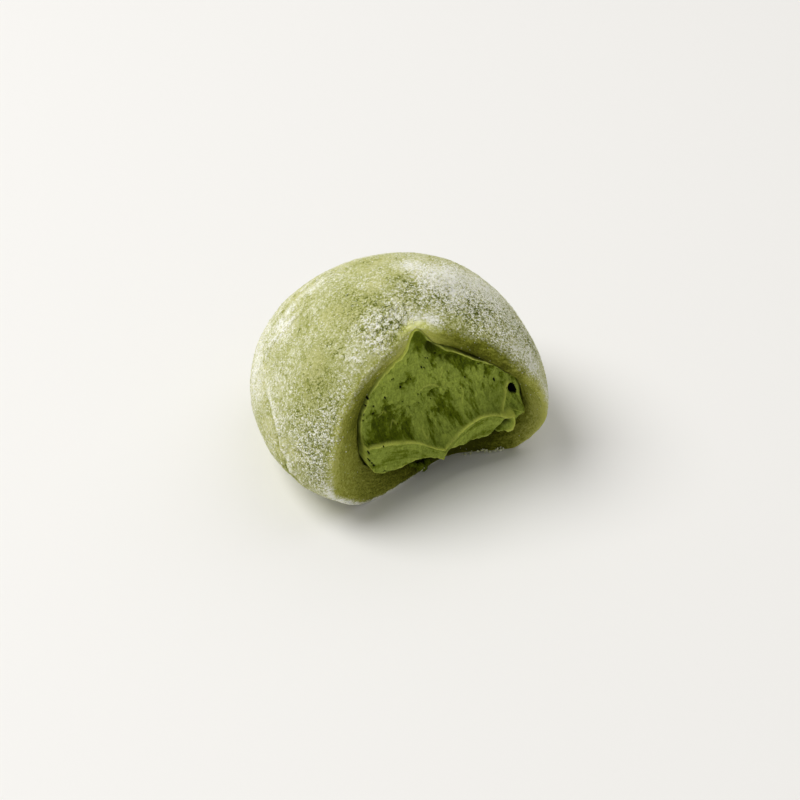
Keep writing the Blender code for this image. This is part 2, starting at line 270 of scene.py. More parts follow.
# The ball's axis isn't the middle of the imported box, so it is found by laying one box on the other.
whole = surface(skin_field, *np.meshgrid(np.linspace(0.0, np.pi, BOX_STEPS),
                                         np.linspace(0, 2 * np.pi, BOX_STEPS)))
whole_middle = (whole[..., 0].max() + whole[..., 0].min()) / 2
ball_axis = np.array([(skin_low[0] + skin_high[0]) / 2 / MM - whole_middle,
                      skin_high[1] / MM - whole[..., 1].max(), 0.0])
print("the ball's axis in the part's frame, mm", ball_axis.round(3))


def in_frame(points):
    """Points from millimetres round the ball's axis to metres in the part's frame."""
    return (np.asarray(points) + ball_axis) * MM


def plain_material(name, colour, roughness):
    """A Principled material of one colour."""
    made = bpy.data.materials.new(name)
    made.use_nodes = True
    shader = made.node_tree.nodes["Principled BSDF"]
    shader.inputs["Base Color"].default_value = (*colour, 1.0)
    shader.inputs["Roughness"].default_value = roughness
    return made


def linked(name, data):
    """A new object for a mesh, a light or a camera, in the scene."""
    made = bpy.data.objects.new(name, data)
    bpy.context.scene.collection.objects.link(made)
    return made


def aim(thing, place, target):
    """Puts an object at a place and turns its minus Z towards the target."""
    thing.location = place
    thing.rotation_euler = (Vector(target) - Vector(place)).to_track_quat("-Z", "Y").to_euler()


floor_mesh = bpy.data.meshes.new("floor")
corners = [(x * FLOOR_HALF, y * FLOOR_HALF, 0) for x, y in ((-1, -1), (1, -1), (1, 1), (-1, 1))]
floor_mesh.from_pydata(corners, [], [(0, 1, 2, 3)])
floor_mesh.materials.append(plain_material("floor", FLOOR_COLOUR, FLOOR_ROUGHNESS))
floor = linked("floor", floor_mesh)
floor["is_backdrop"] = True

world = bpy.data.worlds.new("studio")
bpy.context.scene.world = world
world.use_nodes = True
surround = world.node_tree.nodes["Background"]
surround.inputs["Color"].default_value = SURROUND_COLOUR
surround.inputs["Strength"].default_value = SURROUND_STRENGTH

for name, wide, watts, colour, place in LIGHTS:
    data = bpy.data.lights.new(name, "AREA")
    data.shape, data.size, data.energy, data.color = "DISK", wide, watts, colour
    aim(linked(name, data), place, LIGHTS_AIM)

camera_data = bpy.data.cameras.new("camera")
camera_data.lens, camera_data.sensor_width, camera_data.clip_start = LENS, SENSOR_WIDTH, NEAREST
camera = linked("camera", camera_data)
aim(camera, in_frame(CAMERA_PLACE), in_frame(CAMERA_AIM))
bpy.context.scene.camera = camera
bpy.context.scene.view_settings.view_transform = "Standard"
print("lights", [light[0] for light in LIGHTS], "lens", LENS)

# %% [markdown]
# ## Noise and relief
# Dough and cream are never smooth. The relief is worked out on the vertices with a lattice noise:
# a hash gives each lattice corner a number, and the numbers blend across each cell. Layers of it
# at half the size and half the strength make crusts, dimples and smears.

# %% Noise on whole arrays
def hashed(cells, seed):
    """Whole numbers mixed into 0 to 1: the indices times large primes, then shifted and multiplied."""
    mixed = (cells[..., 0] * 73856093) ^ (cells[..., 1] * 19349663) ^ (cells[..., 2] * 83492791)
    mixed = (mixed ^ (seed * 668265263)) & 0xFFFFFFFF
    mixed = ((mixed ^ (mixed >> 15)) * 2246822519) & 0xFFFFFFFF
    mixed = ((mixed ^ (mixed >> 13)) * 3266489917) & 0xFFFFFFFF
    return (mixed ^ (mixed >> 16)) / 0xFFFFFFFF


def noise(points, cell, seed=1):
    """Lattice noise from -1 to 1: eight hashed corners blended by a quintic in each direction."""
    place = np.asarray(points) / cell
    low = np.floor(place).astype(np.int64)
    t = place - low
    t = t * t * t * (t * (t * 6 - 15) + 10)
    total = 0.0
    for corner in np.ndindex(2, 2, 2):
        pick = np.array(corner)
        weight = np.where(pick == 1, t, 1 - t).prod(-1)
        total = total + weight * hashed(low + pick, seed)
    return total * 2 - 1


def layered(points, cell, seed=1, layers=3, fall=0.5):
    """A sum of noises, each in half the cell and at a fraction of the strength of the last."""
    parts = [noise(points, cell / 2 ** k, seed + k) * fall ** k for k in range(layers)]
    return sum(parts) / sum(fall ** k for k in range(layers))


def stepped(value, low, high):
    """0 below low and 1 above high, with the cubic 3 t squared minus 2 t cubed between."""
    t = np.clip((value - low) / (high - low), 0, 1)
    return t * t * (3 - 2 * t)


def arc(angle, start, end, fade_in, fade_out):
    """1 between two angles in degrees, times a smooth step at each end, as wide as its fade."""
    return (stepped(turned(angle, np.radians(start)), 0, fade_in)
            * stepped(turned(np.radians(end), angle), 0, fade_out))


def worley(points, cell, seed):
    """Distances, in cells, to the nearest and the next of random points, one in each lattice cell."""
    place = points / cell
    low = np.floor(place).astype(np.int64)
    first = np.full(place.shape[:-1], 9.0)
    second = first.copy()
    for offset in np.ndindex(3, 3, 3):
        corner = low + np.array(offset) - 1
        spot = corner + np.stack([hashed(corner, seed + k) for k in range(3)], -1)
        gap = np.linalg.norm(spot - place, axis=-1)
        second = np.minimum(second, np.maximum(first, gap))
        first = np.minimum(first, gap)
    return first, second


def blob(points, middle, size):
    """A bell round a point in space."""
    return np.exp(-(((points - np.array(middle)) / size) ** 2).sum(-1))


def grid_normals(grid):
    """Unit normals of rings of points: the cross product of the steps along and round the rings."""
    along = np.gradient(grid, axis=0)
    around = (np.roll(grid, -1, axis=1) - np.roll(grid, 1, axis=1)) / 2
    cross = np.cross(around, along)
    return cross / np.maximum(np.linalg.norm(cross, axis=-1, keepdims=True), 1e-9)


sample = noise(np.random.default_rng(1).uniform(-40, 40, (2000, 3)), 3.0)
print("noise from", sample.min().round(2), "to", sample.max().round(2))

# %% [markdown]
# ## Where the starch lies
# The maker rolls the cake in starch and pats it. Two things are kept for every place on the skin:
# how much starch lies there, from green dough to a white drift, and how coarse it is, from an even
# rubbed film to grains with dark gaps between them. Both are numbers from 0 to 1 on each vertex.

# %% Starch over the skin
STARCH_PATCHES = (           # a place on the skin, how wide, how much more or less starch
    ((9.2, -6.7, 39.4), 3.0, 0.14), ((12.5, -10.5, 36.8), 4.5, -0.10),
    ((21.0, -9.5, 30.0), 4.5, -0.14), ((7.6, -3.6, 40.5), 4.2, 0.48), ((4.4, 2.6, 41.5), 3.0, 0.34),
    ((11.9, -2.1, 38.9), 4.5, 0.46), ((18.0, -4.0, 34.6), 6.0, 0.38), ((-2.4, -10.9, 39.2), 1.7, 0.70),
    ((1.0, -12.0, 38.8), 1.6, 0.60), ((-20.6, 10.0, 30.7), 2.6, 0.34),
    ((-11.0, 12.3, 36.5), 3.0, 0.18), ((-4.6, -7.9, 40.2), 2.2, 0.28), ((-9.6, -8.0, 38.9), 2.6, 0.20),
    ((8.7, -8.8, 39.0), 3.2, 0.24), ((-15.7, -10.3, 34.9), 1.9, 0.24),
    ((-10.3, -12.5, 36.6), 1.6, 0.15), ((20.6, -18.2, 25.1), 3.0, 0.30),
    ((16.6, -18.2, 29.2), 3.0, 0.22), ((-27.5, 9.0, 18.5), 6.0, 0.20),
    ((-24.0, 15.0, 22.0), 7.0, 0.24), ((-14.0, 16.0, 32.0), 5.0, 0.12), ((0.0, 20.0, 34.0), 7.0, 0.12),
    ((24.0, 0.0, 26.0), 9.0, 0.16), ((-24.4, -18.4, 9.4), 3.2, 0.55), ((-20.6, -17.9, 5.6), 2.8, 0.45),
    ((-24.0, -19.0, 11.0), 7.0, -0.10), ((-25.5, -14.0, 20.0), 7.0, -0.10),
    ((8.0, 25.0, 18.0), 8.0, 0.10), ((-0.8, 9.0, 40.0), 3.6, -0.12), ((0.1, 0.0, 42.0), 2.4, -0.14),
    ((-7.0, -2.3, 40.9), 3.2, -0.17), ((-0.5, -3.8, 41.7), 2.6, -0.16),
    ((4.0, -7.7, 40.4), 3.4, -0.12), ((-9.8, 4.2, 39.6), 3.5, -0.10),
    ((-12.2, -2.1, 38.8), 4.0, -0.20), ((6.0, -12.8, 37.8), 2.2, -0.12),
    ((-19.0, 5.7, 33.5), 3.5, -0.10), ((-20.4, -6.5, 32.5), 5.0, -0.15),
    ((-23.9, -8.8, 28.0), 5.0, -0.14), ((-28.5, 5.0, 14.5), 3.5, -0.16),
    ((-8.0, -15.0, 34.5), 3.0, -0.14), ((-29.0, -8.0, 9.5), 2.6, -0.25),
    ((-12.0, 25.0, 10.0), 8.0, -0.08), ((25.0, 15.0, 8.0), 7.0, -0.08))
GRAIN_PATCHES = (            # a place on the skin, how wide, how much coarser or finer
    ((11.6, -8.6, 37.8), 5.0, 0.45), ((11.9, -12.1, 36.2), 4.0, 0.30),
    ((15.1, -14.7, 33.0), 5.0, 0.45), ((19.0, -6.2, 33.4), 4.5, 0.30),
    ((22.1, -13.0, 26.5), 5.5, 0.40), ((-4.6, -8.2, 40.1), 2.8, 0.45), ((-9.6, -8.0, 38.9), 3.4, 0.50),
    ((-10.3, -12.5, 36.6), 2.8, 0.30), ((4.0, -7.7, 40.4), 3.6, 0.45), ((-0.5, -3.8, 41.7), 2.8, 0.35),
    ((-7.0, -2.3, 40.9), 3.0, 0.12), ((7.0, -4.6, 40.4), 4.0, 0.42), ((9.2, -6.7, 39.4), 3.0, 0.30),
    ((21.0, -9.5, 30.0), 4.5, 0.35), ((14.0, -4.0, 37.2), 5.0, 0.36), ((8.7, -8.8, 39.0), 3.5, 0.38),
    ((-20.6, -13.9, 28.9), 4.5, 0.22), ((-24.4, -14.7, 23.4), 5.0, 0.34),
    ((-27.3, -13.5, 18.4), 5.0, 0.36), ((-26.8, -16.5, 12.6), 4.0, 0.34),
    ((-28.2, -6.8, 21.5), 4.0, 0.14), ((8.0, 22.0, 24.0), 9.0, 0.30), ((26.0, 8.0, 16.0), 8.0, 0.25))
STARCH_SHARE, GRAIN_SHARE = 0.60, 0.20


def patchy(points, share, patches, size, seed, spots):
    """An even share, plus each patch's amount times its bell, plus noise in patches of the size and
    in spots of a quarter of it."""
    amount = share + sum(more * blob(points, middle, wide) for middle, wide, more in patches)
    return amount + spots * (layered(points, size, seed) + layered(points, 0.25 * size, seed + 10))


# %% [markdown]
# ## The skin
# Rings of points run from the back of the ball to the bite, over the bitten face and a little way
# down the hollow. The soft dough undulates, the crust stands up in little plates where it is
# thick, and there are folds where the dough was gathered and where it sags over its foot.

# %% The skin's rings
SPOKES, OUTER_RINGS, BAND_RINGS, WALL_RINGS = 460, 180, 26, 8
OUTER_BUNCHING, WALL_BUNCHING = 0.9, 1.8    # powers that draw the rings together at the bite
angle = np.radians(PEAK_AT) + np.arange(SPOKES) * 2 * np.pi / SPOKES
edge_polar = skin_edge_polar(angle)
outer_share = np.linspace(0, 1, OUTER_RINGS, endpoint=False)[:, None] ** OUTER_BUNCHING
outer_polar = np.pi + (edge_polar - np.pi) * outer_share
outer = surface(skin_field, outer_polar, np.broadcast_to(angle, outer_polar.shape))
band_share = np.linspace(0, 1, BAND_RINGS, endpoint=False)[:, None] * np.ones(SPOKES)
band = bitten_band(np.broadcast_to(angle, band_share.shape), band_share)
wall_share = np.linspace(0, 1, WALL_RINGS)[:, None] ** WALL_BUNCHING * np.ones(SPOKES)
wall = hollow_wall(np.broadcast_to(angle, wall_share.shape), wall_share)
skin_grid = np.concatenate([outer, band, wall])
skin_normals = grid_normals(skin_grid)
height = skin_grid[..., 2]
print("skin grid", skin_grid.shape, "triangles", 2 * skin_grid.shape[0] * skin_grid.shape[1])

# %% Where the dough is bare
BARE_FROM = (-0.8, -3.0, -4.4, -3.4, -2.8, -2.4, -2.2, 1.6, -1.0, -1.2, -1.2, -0.6)   # mm past the edge
BARE_TO = (1.8, 1.0, 1.0, 1.8, 6.0, 2.0, 1.6, 4.2, 1.4, 1.0, 1.0, 1.8)
BARE_RAGGED = 0.9                   # mm that the line between powder and bare dough wanders
CAP_SPREAD, CAP_WIDTH = 3.6, 0.18   # the starch stays up to the edge over the tear
FLOOR_DUST_HEIGHT, FLOOR_DUST_AT, FLOOR_DUST_WIDTH = 0.65, 221, 0.7     # mm, degrees, radians
EDGE_DUST = (                # mm past the edge, how wide, degrees round, how wide, how much
    (0.9, 0.8, 209, 0.22, 1.0), (-1.0, 0.7, -18, 0.45, 0.8))
EDGE_DUST_COVER = 0.8
across_band = np.concatenate([np.zeros(outer_polar.shape), band_share, np.ones(wall_share.shape)])
band_width = np.linalg.norm(opening(angle) - surface(skin_field, edge_polar, angle), axis=-1)
past_edge = np.concatenate([(edge_polar - outer_polar) * BALL_WIDTH / 2, band_share * band_width,
                            band_width + wall_share])
bare_from = round_the_clock(BARE_FROM, angle) + CAP_SPREAD * by_clock(angle, PEAK_AT, CAP_WIDTH)
bare_to = round_the_clock(BARE_TO, angle)
bare = stepped(past_edge + BARE_RAGGED * layered(skin_grid, 1.6, seed=23), bare_from, bare_to)
by_floor = stepped(FLOOR_DUST_HEIGHT - height + 0.4 * noise(skin_grid, 1.3, seed=24), 0, 0.4)
edge_dust = sum(much * bell(past_edge - past, wide) * by_clock(angle, degrees, spread_wide)
                for past, wide, degrees, spread_wide, much in EDGE_DUST)
bare = bare * (1 - by_floor * by_clock(angle, FLOOR_DUST_AT, FLOOR_DUST_WIDTH))
bare = bare * (1 - EDGE_DUST_COVER * edge_dust)
print("share of vertices with bare dough", (bare > 0.5).mean().round(3))

# %% Folds in the skin
FOLD_WANDER, FOLD_UNEVEN, FOLD_ENDS = 0.35, 0.4, 0.25   # mm, a share, a share of the fold's length
FOLDS = (                    # the fold's line over the skin, its ridge, its groove and its width
    (((-26.6, 9.5, 22.8), (-28.1, 3.4, 21.6), (-29.2, -0.5, 19.8), (-29.9, -4.0, 17.4),
      (-30.0, -7.6, 13.6), (-29.0, -11.4, 9.3)), 0.40, 0.45, 1.2),
    (((-28.9, -10.1, 17.5), (-28.3, -12.0, 17.1), (-27.6, -14.0, 16.3), (-27.1, -15.6, 14.7)),
      0.32, 0.30, 0.6),
    (((-30.5, -3.0, 14.1), (-30.4, -5.1, 12.5), (-29.9, -8.5, 11.6), (-29.1, -11.3, 10.2),
      (-28.1, -13.6, 8.6)), 0.25, 0.55, 0.7),
    (((-23.9, 14.8, 23.6), (-20.4, 15.4, 27.9), (-15.9, 16.2, 31.3), (-10.8, 15.8, 34.6),
      (-5.5, 17.0, 35.3)), 0.25, 0.25, 0.8),
    (((-27.1, 6.8, 22.7), (-24.4, 9.6, 26.2), (-21.2, 8.9, 30.6), (-17.7, 8.9, 33.9),
      (-13.8, 8.2, 36.7)), 0.18, 0.22, 0.7))


def curve_points(corners, count=50):
    """Points along a Catmull-Rom curve through the corners, with the ends repeated."""
    p = np.array([corners[0], *corners, corners[-1]])
    place = np.linspace(0, len(corners) - 1 - 1e-9, count)
    k, t = place.astype(int), (place % 1)[:, None]
    a, b, c, d = p[k], p[k + 1], p[k + 2], p[k + 3]
    square, cube = 2 * a - 5 * b + 4 * c - d, 3 * b - a - 3 * c + d
    return (2 * b + (c - a) * t + square * t ** 2 + cube * t ** 3) / 2


def beside(points, normals, corners):
    """Signed distance to a curve over the surface, plus on its left, and how far along it is."""
    line = curve_points(corners)
    step = np.gradient(line, axis=0)
    flat, flat_normals = points.reshape(-1, 3), normals.reshape(-1, 3)
    near = np.full(len(flat), 1e9)
    which = np.zeros(len(flat), int)
    for k, spot in enumerate(line):
        distance = ((flat - spot) ** 2).sum(-1)
        closer = distance < near
        near, which = np.where(closer, distance, near), np.where(closer, k, which)
    across = np.cross(flat_normals, step[which])
    sign = np.sign(((flat - line[which]) * across).sum(-1))
    shape = points.shape[:-1]
    return (np.sqrt(near) * sign).reshape(shape), (which / (len(line) - 1)).reshape(shape)


ridges, grooves = 0.0, 0.0
for corners, ridge, groove, width in FOLDS:
    distance, along = beside(skin_grid, skin_normals, corners)
    distance = distance + FOLD_WANDER * noise(skin_grid, 2.2, seed=27)
    strength = (stepped(along, 0.0, FOLD_ENDS) * stepped(1 - along, 0.0, FOLD_ENDS)
                * (1 + FOLD_UNEVEN * noise(skin_grid, 3.0, seed=29)))
    ridges = ridges + ridge * strength * bell(distance - 0.55 * width, width)
    grooves = grooves + groove * strength * bell(distance + 0.75 * width, 0.6 * width)
print("vertices in folds", int((ridges > 0.1).sum()))

# %% Streaks, crust and how the starch lies
STREAK_WAY, STREAK_STRETCH = np.array([0.74, -0.13, 0.67]), 0.86
STREAK_PLACES = (((-17.0, 13.0, 31.0), 9.0, 1.0), ((-29.0, -9.0, 13.0), 7.0, 0.8))
PLATE_PLACES = (             # where the crust has broken into plates, how wide, how much
    ((-6.5, -8.5, 39.5), 5.0, 1.0), ((8.0, -3.0, 40.5), 5.0, 0.5), ((12.0, -11.0, 36.5), 6.0, 0.6),
    ((21.0, -16.0, 26.0), 4.0, 0.5))
PLATE_CELL, PLATE_SHAKE = 1.4, 0.5
# Towards the edge on the upper left there is less starch: the film is thinner there, and the greener
# dough also stands for painted shade.
THIN_EDGE_PAST, THIN_EDGE_WIDTH = -0.6, 1.2                  # mm past the edge
THIN_EDGE_AT, THIN_EDGE_SPREAD, EDGE_STARCH_LESS_AND_SHADE = 130, 0.9, 0.16     # degrees, radians, starch

along_streak = (skin_grid * STREAK_WAY).sum(-1)[..., None] * STREAK_WAY
streaks = layered(skin_grid - STREAK_STRETCH * along_streak, 1.6, seed=45) * sum(
    more * blob(skin_grid, middle, wide) for middle, wide, more in STREAK_PLACES)
starch = patchy(skin_grid, STARCH_SHARE, STARCH_PATCHES, 9.0, seed=41, spots=0.09)
starch = (starch + 0.5 * ridges - 0.5 * grooves + 0.25 * streaks + 0.55 * stepped(2.0 - height, 0, 1.0)
          + 0.6 * edge_dust - EDGE_STARCH_LESS_AND_SHADE * bell(past_edge - THIN_EDGE_PAST, THIN_EDGE_WIDTH)
          * by_clock(angle, THIN_EDGE_AT, THIN_EDGE_SPREAD))
grainy = patchy(skin_grid, GRAIN_SHARE, GRAIN_PATCHES, 7.0, seed=21, spots=0.10)
starch = starch + 0.25 * np.clip(grainy, 0, 1) * layered(skin_grid, 1.0, seed=43, layers=2)
shaken = skin_grid + PLATE_SHAKE * np.stack([noise(skin_grid, 1.5, 60 + k) for k in range(3)], -1)
nearest, next_nearest = worley(shaken, PLATE_CELL, seed=63)
plates = stepped(next_nearest - nearest, 0.03, 0.30)
plated = sum(more * blob(skin_grid, middle, wide) for middle, wide, more in PLATE_PLACES)
plated = np.clip(plated + 0.5 * noise(skin_grid, 2.5, seed=15), 0, 1) * (1 - bare)
for name, values in (("starch", starch), ("grainy", grainy)):
    print(name, "at 5, 50 and 95 percent", np.percentile(values, (5, 50, 95)).round(2))

# %% The skin's relief
SWELL, DIMPLES, FOOT_WRINKLES, STREAK_HEIGHT = 0.32, 0.10, 0.30, 0.45           # mm
PLATE_HEIGHT, PLATE_GRAIN, COARSE_GRAIN, BARE_GRAIN = 0.32, 0.08, 0.07, 0.06    # mm
WRINKLE_SQUEEZE, WRINKLE_TOP, WRINKLE_FADE = (0.35, 0.35, 1.6), 13.0, 8
FLAT_FOOT, STILL_FOOT = 0.02, 1.6    # mm: flat below the first, with relief growing up to the second
flank = skin_grid * np.array(WRINKLE_SQUEEZE)
wrinkles = stepped(WRINKLE_TOP - height, 0, WRINKLE_FADE) * layered(flank, 3.2, seed=51)
relief = (SWELL * layered(skin_grid, 13.0, seed=11, layers=2) + DIMPLES * noise(skin_grid, 4.0, seed=13)
          + FOOT_WRINKLES * wrinkles * (1 - bare) + STREAK_HEIGHT * streaks + ridges - grooves
          + plated * (PLATE_HEIGHT * plates + PLATE_GRAIN * noise(skin_grid, 0.9, seed=17))
          + grainy * (1 - bare) * COARSE_GRAIN * noise(skin_grid, 0.55, seed=18)
          + bare * BARE_GRAIN * layered(skin_grid, 1.6, seed=19))
on_wall = np.concatenate([np.zeros(OUTER_RINGS + BAND_RINGS), np.ones(WALL_RINGS)])[:, None]
relief = relief * (1 - on_wall) * stepped(height, 0.0, STILL_FOOT)
skin_points = skin_grid + skin_normals * relief[..., None]
skin_points[..., 2] = np.where(height < FLAT_FOOT, 0.0, np.maximum(skin_points[..., 2], 0.0))
print("relief mm", relief.min().round(2), relief.max().round(2))

# %% [markdown]
# ## Turning rings into a piece
# Rings become a closed mesh with a fan at each end. The faces go in as whole arrays, and any
# number worked out per vertex goes along as an attribute that a material can read.

# %% Meshes from rings
def ring_faces(rings, count, from_front=False):
    """Quads between rings as two triangles, and a fan at each end, turned round if asked."""
    here = np.arange(count)
    after = (here + 1) % count
    low = 1 + np.arange(rings - 1)[:, None] * count
    quads = np.concatenate([
        np.stack([low + here, low + after, low + count + after], -1).reshape(-1, 3),
        np.stack([low + here, low + count + after, low + count + here], -1).reshape(-1, 3)])
    last_ring, last = 1 + (rings - 1) * count, 1 + rings * count
    start = np.stack([0 * here, 1 + after, 1 + here], -1)
    end = np.stack([last_ring + here, last_ring + after, 0 * here + last], -1)
    faces = np.concatenate([start, quads, end])
    return faces[:, ::-1] if from_front else faces


def ring_points(rings):
    """Ring points in order, with the first and the last ring drawn together into one point each."""
    body = rings[1:-1].reshape(-1, *rings.shape[2:])
    return np.concatenate([rings[0].mean(0)[None], body, rings[-1].mean(0)[None]])


def add_piece(name, points, faces, finish, attributes=None, smooth_faces=True):
    """A mesh object from arrays, in the part's frame, riding on the part with its finish's slot."""
    mesh = bpy.data.meshes.new(name)
    mesh.vertices.add(len(points))
    mesh.vertices.foreach_set("co", in_frame(points).astype(np.float32).ravel())
    mesh.loops.add(faces.size)
    mesh.loops.foreach_set("vertex_index", faces.astype(np.int32).ravel())
    mesh.polygons.add(len(faces))
    mesh.polygons.foreach_set("loop_start", np.arange(0, faces.size, 3, dtype=np.int32))
    for key, values in (attributes or {}).items():
        layer = mesh.attributes.new(key, "FLOAT", "POINT")
        layer.data.foreach_set("value", values.astype(np.float32).ravel())
    mesh.update(calc_edges=True)
    if smooth_faces:
        mesh.shade_smooth()
    mesh.validate()
    mesh.materials.append(finish)
    piece = linked(name, mesh)
    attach(piece, "root")
    print(name, len(mesh.polygons), "faces")
    return piece


def add_rings(name, rings, finish, looks, from_front=False):
    """A closed piece over rings of points, with each look's number kept on every vertex."""
    faces = ring_faces(len(rings) - 2, rings.shape[1], from_front)
    attributes = {key: ring_points(value[..., None]) for key, value in looks.items()}
    return add_piece(name, ring_points(rings), faces, finish, attributes)


# %% [markdown]
# ## Shader maths
# A material is a graph of nodes, and the graph reads best as the formula it works out. A small
# class wraps an output socket, so that plus, minus and times make Math nodes.

# %% A number in a material
class Wire:
    """One output of a node: + - * with another wire or a number give the Math node's output."""

    def __init__(self, tree, socket=None):
        self.tree = tree
        self.socket = socket

    def make(self, kind, inputs=None, settings=None, out=0):
        """Any node: its type, its inputs by name or number, its settings, and which output to keep."""
        node = self.tree.nodes.new("ShaderNode" + kind)
        for key, value in (settings or {}).items():
            setattr(node, key, value)
        for key, value in (inputs or {}).items():
            if isinstance(value, Wire):
                self.tree.links.new(value.socket, node.inputs[key])
            else:
                node.inputs[key].default_value = value
        return Wire(self.tree, node.outputs[out])

    def math(self, operation, *values):
        """A Math node of this operation on this wire and the values."""
        return self.make("Math", dict(enumerate((self, *values))), {"operation": operation})

    def __add__(self, other):
        return self.math("ADD", other)

    def __sub__(self, other):
        return self.math("SUBTRACT", other)

    def __mul__(self, other):
        return self.math("MULTIPLY", other)

    def __radd__(self, other):
        return self.math("ADD", other)

    def __rmul__(self, other):
        return self.math("MULTIPLY", other)

    def __rsub__(self, other):
        return self.make("Math", {0: other, 1: self}, {"operation": "SUBTRACT"})

    def scaled(self, amount):
        """This vector times a number."""
        return self.make("VectorMath", {0: self, "Scale": amount}, {"operation": "SCALE"})

    def moved(self, other):
        """This vector plus another."""
        return self.make("VectorMath", {0: self, 1: other}, {"operation": "ADD"})

    def step(self, low, high):
        """0 below low, 1 above high and a smooth step between."""
        return self.make("MapRange", {"Value": self, "From Min": low, "From Max": high},
                         {"interpolation_type": "SMOOTHSTEP"})

    def ramp(self, low, high):
        """0 below low, 1 above high and a straight line between."""
        return self.make("MapRange", {"Value": self, "From Min": low, "From Max": high})

    def clamp(self):
        """The value kept between 0 and 1."""
        return self.make("Clamp", {"Value": self})


def mixed(factor, a, b):
    """A Mix node between two colours, each a wire or an RGB triple in linear light."""
    sides = [side if isinstance(side, Wire) else (*side, 1.0) for side in (a, b)]
    return factor.make("Mix", {0: factor, 6: sides[0], 7: sides[1]}, {"data_type": "RGBA"}, out=2)


def graded(value, colours, stops):
    """A colour ramp: each next colour is mixed in while the value runs from one stop to the next."""
    colour = colours[0]
    for low, high, following in zip(stops, stops[1:], colours[1:]):
        colour = mixed(value.ramp(low, high), colour, following)
    return colour


def speckle(place, scale, detail=2.0, roughness=0.5, distortion=0.0):
    """A Noise texture with this many features a millimetre."""
    return place.make("TexNoise", {"Vector": place, "Scale": scale, "Detail": detail,
                                   "Roughness": roughness, "Distortion": distortion})


def cell_edges(place, scale, low, high):
    """A smooth step of the distance to a Voronoi cell's edge, with this many cells a millimetre."""
    return place.make("TexVoronoi", {"Vector": place, "Scale": scale},
                      {"feature": "DISTANCE_TO_EDGE"}).step(low, high)


def new_material(name):
    """A material's tree as a wire, its shader node, and its place in millimetres."""
    made = bpy.data.materials.new(name)
    made.use_nodes = True
    wire = Wire(made.node_tree)
    place = wire.make("TexCoord", out="Object").scaled(1 / MM)
    return made, wire, made.node_tree.nodes["Principled BSDF"], place


def attribute(wire, name):
    """A number kept on the mesh's vertices."""
    return wire.make("Attribute", settings={"attribute_name": name}, out="Fac")


def finish_shader(wire, shader, colour, roughness, bump_height, values):
    """Plugs in colour, roughness and a bump whose height is in millimetres, and sets plain values."""
    bump = wire.make("Bump", {"Height": bump_height, "Distance": MM, "Strength": 1.0})
    for key, made in (("Base Color", colour), ("Roughness", roughness), ("Normal", bump)):
        wire.tree.links.new(made.socket, shader.inputs[key])
    for key, value in values.items():
        shader.inputs[key].default_value = value


# %% [markdown]
# ## Dusted dough
# Starch on dough reads as one scale of colours: dark green in a gap between grains, yellow green dough,
# dough under a rubbed film, and white starch. The dark green is the dough between grains with painted
# shade. A fine grain moves each place up and down that scale, a little where the starch is rubbed in and
# a lot where it is coarse. Towards the bite the grains thin out, and the bitten dough is bare, with
# faint fibres. Painted light and shade make it lighter where its rim catches light and darker deep in
# the bite and under the lip, and the thin skin by the tear has a painted glow.

# %% The dough's material
# The first colour is the dough between grains, darkened as painted shade.
DUST_COLOURS_WITH_GAP_SHADE = ((0.12, 0.145, 0.025), (0.35, 0.37, 0.10), (0.56, 0.57, 0.30), (0.95, 0.95, 0.85))
DUST_STOPS = (0.0, 0.35, 0.65, 1.0)
DUST_WARM, WARM_SPOTS = (0.60, 0.59, 0.27), 0.14
# The bitten dough's colours run from lit dough to dough in painted shade, and its fibres move each place
# along them.
DOUGH_LIT_TO_SHADED = ((0.515, 0.525, 0.13), (0.335, 0.348, 0.053), (0.146, 0.160, 0.011),
                 (0.058, 0.064, 0.003))
DOUGH_STOPS = (-0.7, 0.0, 1.0, 1.9)
# A painted glow: paler, yellower dough where light shines through the thin skin by the tear.
DOUGH_GLOW = (0.74, 0.77, 0.18)
GRAIN_CELLS, CLUMP_CELLS, PLATE_CELLS, MOTTLE_CELLS = 3.6, 1.5, 0.62, 3.0    # cells a millimetre
WARP, WARP_SPOTS, FINE_SPOTS, CRACK_SPOTS = 0.7, 2.2, 2.2, 0.7    # mm, then spots a millimetre
FIBRE_SQUEEZE, FIBRE_RUN, FIBRE_SPOTS = 0.45, 2.4, 1.2
GRAIN_LEAST, GRAIN_MORE = 0.20, 1.6          # how far the grain moves a place on the scale of colours

skin_material, wire, shader, place = new_material("dusted rice dough")
starch_wire, grain_wire, bare_wire, band_shading_wire, glow_wire, crack_wire, past_wire = (
    attribute(wire, name) for name in ("starch", "grainy", "bare", "band_shading", "thin", "crack", "past_edge"))
wobble = wire.make("TexNoise", {"Vector": place, "Scale": WARP_SPOTS, "Detail": 2.0}, out="Color")
warped = place.moved(wobble.moved((-0.5, -0.5, -0.5)).scaled(WARP))
fine = speckle(place, FINE_SPOTS, detail=4.0, roughness=0.75)


def grain(scale):
    """Each Voronoi cell's own random number from -0.5 to 0.5, less a little along its edge as painted
    shade between grains.
    """
    random = warped.make("TexVoronoi", {"Vector": warped, "Scale": scale}, out="Color")
    random = random.make("SeparateXYZ", {0: random})
    return random - 0.5 - 0.25 * cell_edges(warped, scale, 0.10, 0.0)


texture = 0.85 * grain(GRAIN_CELLS) + 0.18 * grain(CLUMP_CELLS) + 1.3 * (fine - 0.5) + 0.07
